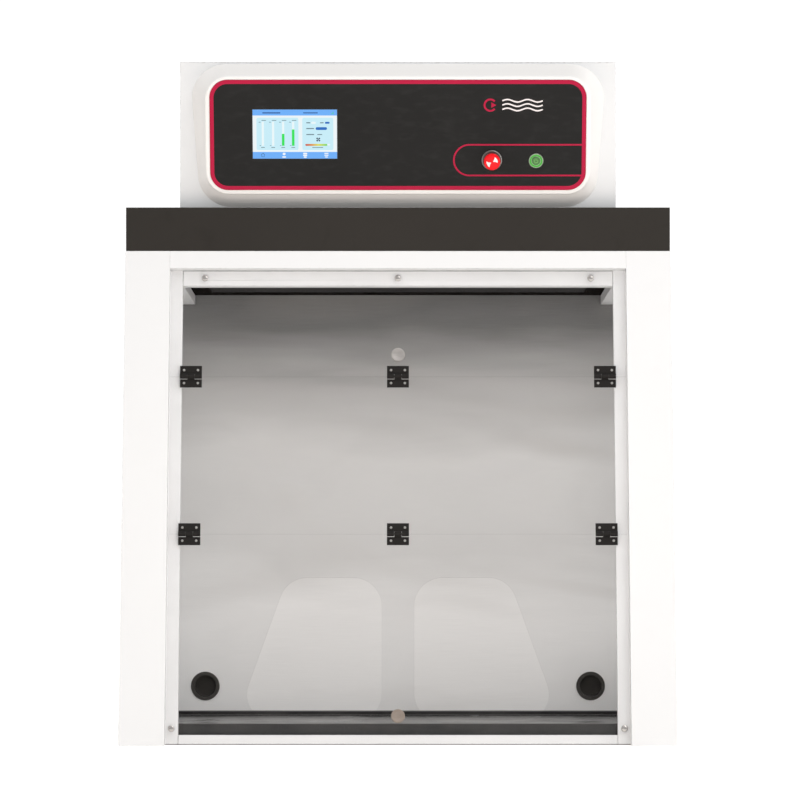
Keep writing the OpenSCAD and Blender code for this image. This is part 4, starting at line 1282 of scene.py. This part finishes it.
@dataclass
class Head:
    """Filter band, blower head, exhaust guard and what they hold."""

    ring_step: float = 11 * MM
    wire_r: float = 1.4 * MM
    hole_r: float = 118 * MM
    flange: float = 10 * MM
    cover_t: float = 2 * MM
    bar_w: float = 4 * MM

    def build(self) -> None:
        """Makes every piece of the band and the head."""
        softened("filter_housing", Coat.BAND, 1.0 * MM, 3)
        softened("head_shell", Coat.WHITE, 1.0 * MM, 3)
        softened("head_cover", Coat.WHITE, 0.8 * MM, 3)
        softened("mains_inlet", Coat.PLASTIC, 0.5 * MM)
        softened("motor_bracket", Coat.ZINC, 0.5 * MM)
        softened("fan_motor", Coat.ZINC, 0.5 * MM)
        softened("power_supply", Coat.ZINC, 0.5 * MM)
        softened("blower_plate", Coat.ZINC, 0.4 * MM)
        repaint(Coat.ZINC, "inlet_ring")
        repaint(Coat.PLASTIC, "impeller")
        repaint(Coat.BRIGHT, "motor_shaft")
        repaint(Coat.MEDIA, "carbon_filter")
        repaint(Coat.RUBBER, "filter_gasket")
        self.guard()

    def guard(self) -> None:
        """Wire rings on three cross bars, held by a flange under the cover."""
        low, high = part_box("exhaust_guard")
        centre = (low + high) / 2
        top = high.z
        rings = RECIPES["guard"].grow(
            "guard_rings", points_mesh("guard", [Vector((centre.x, centre.y, top - self.wire_r))]),
            Rings=int((self.hole_r - self.ring_step / 2) / self.ring_step), Step=self.ring_step,
            Wire=self.wire_r,
            Segments=72, Material=Coat.WIRE.value.material(),
        )
        shape = bmesh.new()
        shape.from_mesh(rings.data)
        for turn in (0.0, 60.0, 120.0):
            bar = bmesh.ops.create_cube(shape, size=1.0)["verts"]
            size = Matrix.Diagonal((2 * self.hole_r - 1 * MM, self.bar_w, 1.8 * MM, 1.0))
            spot = Matrix.Translation((centre.x, centre.y, top - 2 * self.wire_r - 0.6 * MM))
            bmesh.ops.transform(
                shape, matrix=spot @ Matrix.Rotation(math.radians(turn), 4, "Z") @ size, verts=bar
            )
        shape.to_mesh(rings.data)
        shape.free()
        level = upright_place(centre.x, centre.y, top - self.cover_t, Vector((0.0, 0.0, -1.0)))
        inner, outer, thick = self.hole_r - 3 * MM, self.hole_r + self.flange, 1.8 * MM
        ring = turned(
            "guard_flange", [(inner, 0.0), (outer, 0.0), (outer, -thick), (inner, -thick)], level, 0.0, 0.0,
            96
        )
        dress(ring, Coat.WIRE)
        report(ring, "cabinet", "bright_steel")
        report(rings, "cabinet", "bright_steel", "exhaust_guard")


@dataclass
class ControlPod:
    """Drafted pod with its overlay, display, stop button and power button."""

    place: Place = field(default_factory=pod_place)
    rim_w: float = 708 * MM
    rim_h: float = 219.6 * MM
    rim_r: float = 43 * MM
    roll: float = 4 * MM
    pocket_w: float = 690.4 * MM
    pocket_h: float = 204.2 * MM
    pocket_r: float = 33.2 * MM
    pocket_lift: float = 1.5 * MM
    pocket_depth: float = 2.2 * MM
    wall: float = 3 * MM
    base_r: float = 62 * MM
    base_top_half: float = 380.5 * MM
    base_low_half: float = 369.5 * MM
    base_margin_low: float = 3.5 * MM
    base_margin_top: float = 4.5 * MM
    print_t: float = 0.06 * MM
    corner_steps: int = 14
    side_steps: int = 6

    def build(self) -> None:
        """Makes every piece of the pod."""
        self.shell()
        softened("control_overlay", Coat.OVERLAY, 0.25 * MM)
        softened("overlay_trim", Coat.TRIM, 0.15 * MM)
        softened("touch_display", Coat.GLASS, 0.15 * MM)
        repaint(Coat.BOARD, "controller_board")
        repaint(Coat.PLASTIC, "estop_stem")
        self.screen()
        self.stop_button()
        self.power_button()
        self.airflow_sign()

    def ring(self, corners: Sequence[tuple[float, float]], radius: float) -> list[Point]:
        """A closed ring of points round four corner centres, anticlockwise from the lower right."""
        starts = (-90.0, 0.0, 90.0, 180.0)
        corner_arcs = [arc(c, radius, a, a + 90.0, self.corner_steps) for c, a in zip(corners, starts)]
        points: list[Point] = []
        for here, after in zip(corner_arcs, [*corner_arcs[1:], corner_arcs[0]]):
            points += here
            (x0, v0), (x1, v1) = here[-1], after[0]
            share = [i / (self.side_steps + 1) for i in range(1, self.side_steps + 1)]
            points += [(x0 + (x1 - x0) * s, v0 + (v1 - v0) * s) for s in share]
        return points

    def face_ring(self, w: float, h: float, r: float, depth: float, lift: float = 0.0) -> list[Vector]:
        """A rounded rectangle on the pod's face at a depth."""
        dx, dv = w / 2 - r, h / 2 - r
        corners = [(dx, lift - dv), (dx, lift + dv), (-dx, lift + dv), (-dx, lift - dv)]
        return [self.place.at(x, depth, v) for x, v in self.ring(corners, r)]

    def base_ring(self, inset: float) -> list[Vector]:
        """The pod's foot on the head's front face, moved in by an inset."""
        low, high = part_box("head_shell")[0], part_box("head_cover")[1]
        r = self.base_r
        z0, z1 = low.z + self.base_margin_low + r, high.z - self.base_margin_top - r
        a, b = self.base_low_half - r, self.base_top_half - r
        points = self.ring([(a, z0), (b, z1), (-b, z1), (-a, z0)], r - inset)
        return [Vector((x, low.y, z)) for x, z in points]

    def shell(self) -> None:
        """The pod's moulding: foot, drafted flanks, rolled rim, pocket and inner wall."""
        base, rim = self.base_ring(0.0), self.face_ring(self.rim_w, self.rim_h, self.rim_r, self.roll)
        rings = [base]
        for share in (0.04, 0.12, 0.35, 0.65, 0.9):
            rings.append([b.lerp(r, share) for b, r in zip(base, rim)])
        rings.append(rim)
        for angle in (20.0, 45.0, 70.0, 90.0):
            inset = self.roll * (1 - math.cos(math.radians(angle))) * 0.85
            depth = self.roll * (1 - math.sin(math.radians(angle)))
            rings.append(self.face_ring(self.rim_w - 2 * inset, self.rim_h - 2 * inset, self.rim_r - inset, depth))
        for grow, depth in ((0.5 * MM, 0.0), (0.0, 0.5 * MM), (0.0, self.pocket_depth)):
            rings.append(self.face_ring(
                self.pocket_w + 2 * grow, self.pocket_h + 2 * grow, self.pocket_r + grow, depth,
                self.pocket_lift
            ))
        inner_w, inner_h = self.pocket_w - 16 * MM, self.pocket_h - 16 * MM
        rings.append(self.face_ring(inner_w, inner_h, self.pocket_r - 8 * MM, self.pocket_depth, self.pocket_lift))
        rings.append(self.face_ring(inner_w, inner_h, self.pocket_r - 8 * MM, self.pocket_depth + self.wall, self.pocket_lift))
        rings.append(self.base_ring(self.wall))
        shape = bmesh.new()
        loops = [[shape.verts.new(p) for p in ring] for ring in rings]
        for near, far in zip(loops, [*loops[1:], loops[0]]):
            for i in range(len(near)):
                j = (i + 1) % len(near)
                shape.faces.new([near[i], near[j], far[j], far[i]])
        bmesh.ops.recalc_face_normals(shape, faces=shape.faces)
        piece = new_object("pod_moulding", mesh_of("pod", shape))
        smooth(piece, 40.0)
        dress(piece, Coat.POD)
        report(piece, "cabinet", "pod_white", "pod_bezel")

    def screen(self) -> None:
        """The lit page of the touch display."""
        Screen(self.place).build()

    def stop_button(
        self, head_r: float = 15.25 * MM, head_h: float = 15 * MM, dome_r: float = 58 * MM
    ) -> None:
        """Mushroom head with twist marks, and its collar."""
        back = self.place.matrix.inverted()
        spot = back @ Vector(joint("stop_twist")["pos_m"])
        x, v = spot.x, spot.z
        rear = -max((back @ c.co).y for c in frame["nodes"]["estop_head"].data.vertices)
        top = rear + head_h

        def dome(r: float) -> float:
            """Height of the head's crown at a radius."""
            return top - dome_r + math.sqrt(dome_r * dome_r - r * r)

        crown = [(head_r - 1.2 * MM) * i / 8 for i in range(9)]
        profile = [
            *[(r, dome(r)) for r in crown],
            (head_r - 0.5 * MM, dome(head_r - 1.2 * MM) - 0.5 * MM),
            (head_r, dome(head_r - 1.2 * MM) - 1.4 * MM),
            (head_r, rear + 6.4 * MM), (head_r - 0.5 * MM, rear + 5.5 * MM),
            (head_r - 2.4 * MM, rear + 4.8 * MM),
            (head_r - 3 * MM, rear + 4.2 * MM), (head_r - 3 * MM, rear), (6.5 * MM, rear),
            (6.5 * MM, rear + 3.9 * MM), (0.0, rear + 3.9 * MM),
        ]
        head = turned("stop_mushroom", profile, self.place, x, v, 72)
        dress(head, Coat.STOP)
        report(head, "stop_head", "button_red", "estop_head")
        self.twist_marks(x, v, dome)
        collar_r, collar_t = 18.8 * MM, 3 * MM
        face = 0.4 * MM
        ring = [
            (6.6 * MM, face + 1.2 * MM), (15.5 * MM, face + 1.2 * MM),
            (16.2 * MM, face + collar_t - 0.3 * MM),
            (16.6 * MM, face + collar_t), (collar_r - 1.2 * MM, face + collar_t),
            (collar_r - 0.3 * MM, face + collar_t - 0.7 * MM),
            (collar_r, face + 0.6 * MM), (collar_r, face), (11 * MM, face), (11 * MM, -34 * MM),
            (6.6 * MM, -34 * MM),
        ]
        collar = turned("stop_collar_turned", ring, self.place, x, v, 72)
        dress(collar, Coat.COLLAR)
        report(collar, "cabinet", "zinc_sheet", "estop_collar")

    def twist_marks(self, x: float, v: float, dome: Callable[[float], float]) -> None:
        """Two fan-shaped marks with arrow tips, laid over the head's crown."""
        shape = bmesh.new()
        lift = 0.12 * MM
        for turn in (28.0, 208.0):
            radii = [2.2 * MM + 8.2 * MM * i / 5 for i in range(6)]
            spread = [14.0 + 22.0 * i / 5 for i in range(6)]
            rows = []
            for r, half in zip(radii, spread):
                angles = [math.radians(turn - half + 2 * half * k / 6) for k in range(7)]
                rows.append([
                    shape.verts.new(self.place.at(x + r * math.cos(a), -dome(r) - lift, v + r * math.sin(a))) for a in angles
                ])
            for near, far in zip(rows, rows[1:]):
                for k in range(6):
                    shape.faces.new([near[k], near[k + 1], far[k + 1], far[k]])
        piece = new_object("stop_twist_marks", mesh_of("marks", shape))
        thick = piece.modifiers.new("thick", "SOLIDIFY")
        thick.thickness = 0.25 * MM
        thick.offset = -1.0 if piece.data.polygons[0].normal.y < 0 else 1.0
        plain_mesh(piece)
        dress(piece, Coat.MARK)
        report(piece, "stop_head", "button_red")

    def power_button(self) -> None:
        """Green button: metal rim, lit ring, pressed cap and its sign."""
        back = self.place.matrix.inverted()
        low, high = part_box("power_button")
        x = (low.x + high.x) / 2
        spots = [back @ c.co for c in frame["nodes"]["power_button"].data.vertices]
        v = (min(p.z for p in spots) + max(p.z for p in spots)) / 2
        out = -min(p.y for p in spots)
        cap_r, collar_r, face = high.x - x, 13.5 * MM, 0.4 * MM
        rim = [
            (cap_r + 0.3 * MM, face + 1.6 * MM), (11.9 * MM, face + 1.6 * MM), (12.2 * MM, face + 2.2 * MM),
            (collar_r - 0.6 * MM, face + 2.2 * MM), (collar_r, face + 1.5 * MM), (collar_r, face),
            (10 * MM, face),
            (10 * MM, -26 * MM), (cap_r + 0.3 * MM, -26 * MM),
        ]
        collar = turned("power_collar_turned", rim, self.place, x, v, 72)
        dress(collar, Coat.GREEN_RIM)
        report(collar, "cabinet", "button_green", "power_collar")
        glow = [
            (8.6 * MM, face + 1.5 * MM), (8.8 * MM, face + 2.0 * MM), (11.4 * MM, face + 2.0 * MM),
            (11.7 * MM, face + 1.5 * MM),
        ]
        ring = turned("power_ring_lit", glow, self.place, x, v, 72)
        dress(ring, Coat.GREEN_LIT)
        report(ring, "cabinet", "button_green")
        cap = [
            (0.0, out - 0.45 * MM), (cap_r * 0.5, out - 0.35 * MM), (cap_r - 1.3 * MM, out - 0.1 * MM),
            (cap_r - 0.7 * MM, out),
            (cap_r - 0.2 * MM, out - 0.3 * MM), (cap_r, out - 0.9 * MM), (cap_r, -20 * MM), (0.0, -20 * MM),
        ]
        cap_piece = turned("power_cap_turned", cap, self.place, x, v, 72)
        dress(cap_piece, Coat.GREEN_DARK)
        report(cap_piece, "power_cap", "button_green", "power_button")
        sign = Plates(self.place, -out + 0.5 * MM, 0.25 * MM)
        sign.stroke(arc((x, v), 3.3 * MM, 125.0, 415.0, 22), 0.9 * MM)
        sign.box(x, v + 2.6 * MM, 0.9 * MM, 3.4 * MM, 0.4 * MM)
        sign.piece("power_sign", "power_cap", "button_green", Coat.GREEN_MARK)

    def airflow_sign(self, x: float = 213 * MM, v: float = 57 * MM) -> None:
        """A plain airflow sign: a red intake ring and three rising waves."""
        waves = Plates(self.place, -0.4 * MM, self.print_t)
        for line in (-1, 0, 1):
            run = [
                (
                    x - 22 * MM + 74 * MM * i / 36,
                    v + line * 8 * MM + 2.4 * MM * math.sin(math.tau * i / 18)
                ) for i in range(37)
            ]
            waves.stroke(run, 2.6 * MM)
        waves.piece("airflow_waves", "cabinet", "overlay_black", Coat.MARK)
        intake = Plates(self.place, -0.4 * MM, self.print_t)
        intake.stroke(arc((x - 44 * MM, v), 10.5 * MM, 40.0, 320.0, 30), 3.4 * MM)
        intake.outline([(x - 42 * MM, v - 5 * MM), (x - 33 * MM, v), (x - 42 * MM, v + 5 * MM)])
        intake.piece("airflow_intake", "cabinet", "trim_red", Coat.TRIM)


@dataclass
class Screen:
    """The display's page: bars, two cards, gauges, switches and small signs."""

    place: Place
    inset: float = 0.9 * MM
    step: float = 0.05 * MM

    def build(self) -> None:
        """Lays the page out in layers."""
        back = self.place.matrix.inverted()
        spots = [back @ c.co for c in frame["nodes"]["touch_display"].data.vertices]
        front = min(p.y for p in spots)
        glass = [p for p in spots if p.y < front + 0.05 * MM]
        self.left = min(p.x for p in glass) + self.inset
        self.right = max(p.x for p in glass) - self.inset
        self.low = min(p.z for p in glass) + self.inset
        self.high = max(p.z for p in glass) - self.inset
        self.front = front
        self.layer = 0
        self.draw("field", LitPrint("lit_white", (0.86, 0.93, 0.96), 0.95), [(0.5, 0.5, 1.0, 1.0, 0.0)])
        self.draw(
            "bars", LitPrint("lit_blue", (0.14, 0.42, 0.95), 0.97),
            [(0.5, 0.06, 1.0, 0.12, 0.0), (0.5, 0.932, 1.0, 0.136, 0.0)]
        )
        self.draw(
            "cards", LitPrint("lit_card", (0.58, 0.86, 0.96), 0.95),
            [(0.294, 0.495, 0.497, 0.66, 0.02), (0.772, 0.495, 0.368, 0.66, 0.02)]
        )
        columns = (0.120, 0.242, 0.361, 0.480)
        self.draw("gauges", LitPrint("lit_pale", (0.84, 0.95, 0.97), 0.95), [(c, 0.492, 0.026, 0.492, 0.0) for c in columns]
                  + [(0.722, 0.268, 0.055, 0.045, 0.02), (0.895, 0.715, 0.04, 0.03, 0.0)])
        self.draw(
            "fills", LitPrint("lit_green", (0.012, 0.76, 0.08), 0.95),
            [(0.361, 0.616, 0.030, 0.243, 0.0), (0.480, 0.571, 0.030, 0.334, 0.0)]
        )
        scale = LitScale("lit_scale", self.left + 0.62 * self.width, self.left + 0.885 * self.width)
        self.draw("scale", scale, [(0.754, 0.720, 0.262, 0.040, 0.015)])
        self.draw(
            "switches", LitPrint("lit_deep_blue", (0.0, 0.14, 0.55), 0.9),
            [(0.885, 0.268, 0.056, 0.04, 0.018), (0.814, 0.386, 0.135, 0.058, 0.02)]
        )
        dashes = [(c + 0.012, 0.219, 0.055, 0.014, 0.006) for c in columns]
        dashes += [(c - 0.037, 0.256, 0.025, 0.012, 0.005) for c in columns]
        dashes += [(c - 0.03, 0.733, 0.018, 0.012, 0.005) for c in columns]
        dashes += [(c, 0.773, 0.046, 0.014, 0.006) for c in columns]
        dashes += [
            (0.66, 0.268, 0.05, 0.022, 0.008), (0.82, 0.268, 0.044, 0.022, 0.008),
            (0.682, 0.386, 0.095, 0.022, 0.008)
        ]
        dashes += [
            (0.682, 0.508, 0.095, 0.022, 0.008), (0.795, 0.508, 0.06, 0.018, 0.007),
            (0.77, 0.773, 0.13, 0.014, 0.006)
        ]
        self.draw("dashes", LitPrint("lit_grey", (0.16, 0.24, 0.28), 0.9), dashes)
        titles = [(0.222, 0.066, 0.215, 0.026, 0.01), (0.686, 0.066, 0.175, 0.022, 0.009)]
        self.draw("titles", LitPrint("lit_navy", (0.02, 0.11, 0.36), 0.9), titles)
        self.draw(
            "link", LitPrint("lit_teal", (0.08, 0.62, 0.40), 0.9),
            [(0.944 + 0.012 * i, 0.078 - 0.008 * i, 0.008, 0.03 + 0.016 * i, 0.0) for i in range(-1, 2)]
        )
        self.draw("signs", LitPrint("lit_sign", (0.92, 0.96, 1.0), 0.95), [
            (0.371, 0.905, 0.034, 0.05, 0.02), (0.371, 0.967, 0.045, 0.028, 0.012),
            (0.621, 0.895, 0.05, 0.03, 0.01), (0.621, 0.932, 0.05, 0.03, 0.01),
            (0.621, 0.969, 0.036, 0.028, 0.01),
            (0.873, 0.893, 0.05, 0.02, 0.008), (0.873, 0.93, 0.05, 0.02, 0.008),
            (0.873, 0.967, 0.036, 0.02, 0.008),
        ])
        self.fan_sign()

    @property
    def width(self) -> float:
        """Width of the lit page."""
        return self.right - self.left

    @property
    def tall(self) -> float:
        """Height of the lit page."""
        return self.high - self.low

    def plates(self) -> Plates:
        """The next layer of plates, one step further out."""
        self.layer += 1
        return Plates(self.place, self.front - (self.layer - 1) * self.step * 0.5, self.step)

    def draw(
        self, name: str, finish: Finish, boxes: Sequence[tuple[float, float, float, float, float]]
    ) -> None:
        """Adds one colour of the page.

        Args:
            name: The piece's name.
            finish: Its lit finish.
            boxes: Centre, size and corner of each box, as shares of the page
                from its upper left.
        """
        plates = self.plates()
        for x, y, w, h, r in boxes:
            corner = min(r * self.width, 0.49 * w * self.width, 0.49 * h * self.tall)
            plates.box(
                self.left + x * self.width, self.high - y * self.tall, w * self.width, h * self.tall, corner
            )
        plates.piece(f"screen_{name}", "cabinet", "display_screen", finish)

    def fan_sign(self, blades: int = 4, r: float = 4.2 * MM) -> None:
        """A small fan sign on the right card and a house sign on the lower bar."""
        x, v = self.left + 0.777 * self.width, self.high - 0.61 * self.tall
        plates = self.plates()
        for i in range(blades):
            a = 360.0 * i / blades + 20.0
            tip = arc((x, v), r, a, a + 48.0, 6)
            plates.outline([(x, v), *tip, (x + 0.45 * r * math.cos(math.radians(a + 62)), v + 0.45 * r * math.sin(math.radians(a + 62)))])
        hx, hv, s = self.left + 0.12 * self.width, self.high - 0.925 * self.tall, 3.4 * MM
        plates.stroke([(hx - s, hv), (hx, hv + s), (hx + s, hv)], 0.8 * MM)
        plates.stroke(
            [(hx - 0.7 * s, hv), (hx - 0.7 * s, hv - s), (hx + 0.7 * s, hv - s), (hx + 0.7 * s, hv)],
            0.7 * MM
        )
        plates.piece(
            "screen_dark_signs", "cabinet", "display_screen", LitPrint("lit_ink", (0.015, 0.04, 0.09), 0.9)
        )


@dataclass
class Studio:
    """Camera, lamps, floor and surround."""

    floor_half: float = 14.0
    floor_tone: Colour = (0.97, 0.945, 0.92)
    world: float = 0.56
    overhead: float = 1.15
    backdrop: float = 1.1

    def camera(self) -> None:
        """The level camera in front of the hood."""
        data = bpy.data.cameras.new("camera")
        data.lens, data.sensor_width = CAMERA_LENS, 36.0
        data.shift_x, data.shift_y = CAMERA_SHIFT
        data.clip_end = 100.0
        camera = bpy.data.objects.new("camera", data)
        camera.location = CAMERA_AT
        camera.rotation_euler = (math.radians(90), 0.0, 0.0)
        bpy.context.scene.collection.objects.link(camera)
        bpy.context.scene.camera = camera

    def build(self) -> None:
        """Makes floor, surround and lamps."""
        self.floor()
        self.surround()
        self.sun()
        self.lamp("key", (2.6, -4.2, 4.8), (0.0, 0.0, 0.4), 3.4, 70.0, (1.0, 0.998, 0.995))
        self.lamp("side_left", (-3.2, -0.7, 1.1), (0.0, 0.2, 0.25), 2.4, 10.0, (1.0, 0.96, 0.91))
        self.lamp("side_right", (3.2, -0.7, 1.1), (0.0, 0.2, 0.25), 2.4, 26.0, (1.0, 0.98, 0.97))
        self.lamp("fill", (0.4, -4.6, 0.55), (0.0, 0.0, 0.2), 1.6, 32.0, (0.97, 0.985, 1.0))
        self.lamp("bounce", (0.0, -1.5, 0.02), (0.0, -0.3, 1.2), 1.4, 14.0, (1.0, 0.84, 0.72))
        for name in ("fill", "bounce"):
            bpy.data.objects[name].visible_glossy = False

    def sun(self) -> None:
        """A wide soft light from straight above, so the floor is evenly pale."""
        data = bpy.data.lights.new("overhead", "SUN")
        data.energy, data.angle = self.overhead, 1.2
        bpy.context.scene.collection.objects.link(bpy.data.objects.new("overhead", data))

    def floor(self) -> None:
        """A plain pale floor."""
        half = self.floor_half
        mesh = bpy.data.meshes.new("floor")
        mesh.from_pydata(
            [(-half, -half, 0), (half, -half, 0), (half, half, 0), (-half, half, 0)], [], [(0, 1, 2, 3)]
        )
        floor = new_object("floor", mesh)
        shader = Shader("floor_pale")
        tone = shader.mix(shader.noise(1.2, 2.0) * 0.04, self.floor_tone, (0.9, 0.9, 0.9))
        seen = shader.node("ShaderNodeLightPath", output="Is Camera Ray")
        lift = shader.mix(seen, (0.0, 0.0, 0.0), (0.32, 0.32, 0.32))
        surface = shader.principled(
            Base_Color=tone, Roughness=0.7, Emission_Color=lift, Emission_Strength=1.0
        )
        floor.data.materials.append(shader.finish(surface))
        floor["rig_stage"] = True

    def surround(self) -> None:
        """White light from all round."""
        world = bpy.data.worlds.new("surround")
        world.use_nodes = True
        graph = Graph(world.node_tree)
        seen = graph.node("ShaderNodeLightPath", output="Is Camera Ray")
        strength = self.world + seen * (self.backdrop - self.world)
        sky = graph.node("ShaderNodeBackground", None, {"Color": (1.0, 1.0, 1.0, 1.0), "Strength": strength})
        graph.node("ShaderNodeOutputWorld", None, {"Surface": sky})
        bpy.context.scene.world = world

    def lamp(
        self, name: str, at: Sequence[float], to: Sequence[float], size: float, watts: float, colour: Colour
    ) -> None:
        """A soft square lamp.

        Args:
            name: The lamp's name.
            at: Where it stands.
            to: Where it points.
            size: Its side.
            watts: Its power.
            colour: Its colour.
        """
        data = bpy.data.lights.new(name, "AREA")
        data.shape, data.size, data.energy, data.color = "SQUARE", size, watts, colour
        lamp = bpy.data.objects.new(name, data)
        lamp.location = at
        lamp.visible_camera = False
        lamp.rotation_euler = (Vector(to) - Vector(at)).to_track_quat("-Z", "Y").to_euler()
        bpy.context.scene.collection.objects.link(lamp)


def main(cad_box: tuple[Vector, Vector]) -> None:
    """Builds the hood's looks.

    Args:
        cad_box: Lowest and highest corner of the CAD model; not used.
    """
    logging.basicConfig(level=logging.INFO, format="%(message)s")
    studio = Studio()
    studio.camera()
    RECIPES.update(fasteners=fasteners_recipe(), bead=bead_recipe(), guard=guard_recipe())
    Cabinet().build()
    FrontFrame().build()
    Sash().build()
    Head().build()
    ControlPod().build()
    studio.build()
    bpy.context.scene.view_settings.view_transform = "Standard"


if __name__ == "__main__":
    main(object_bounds())
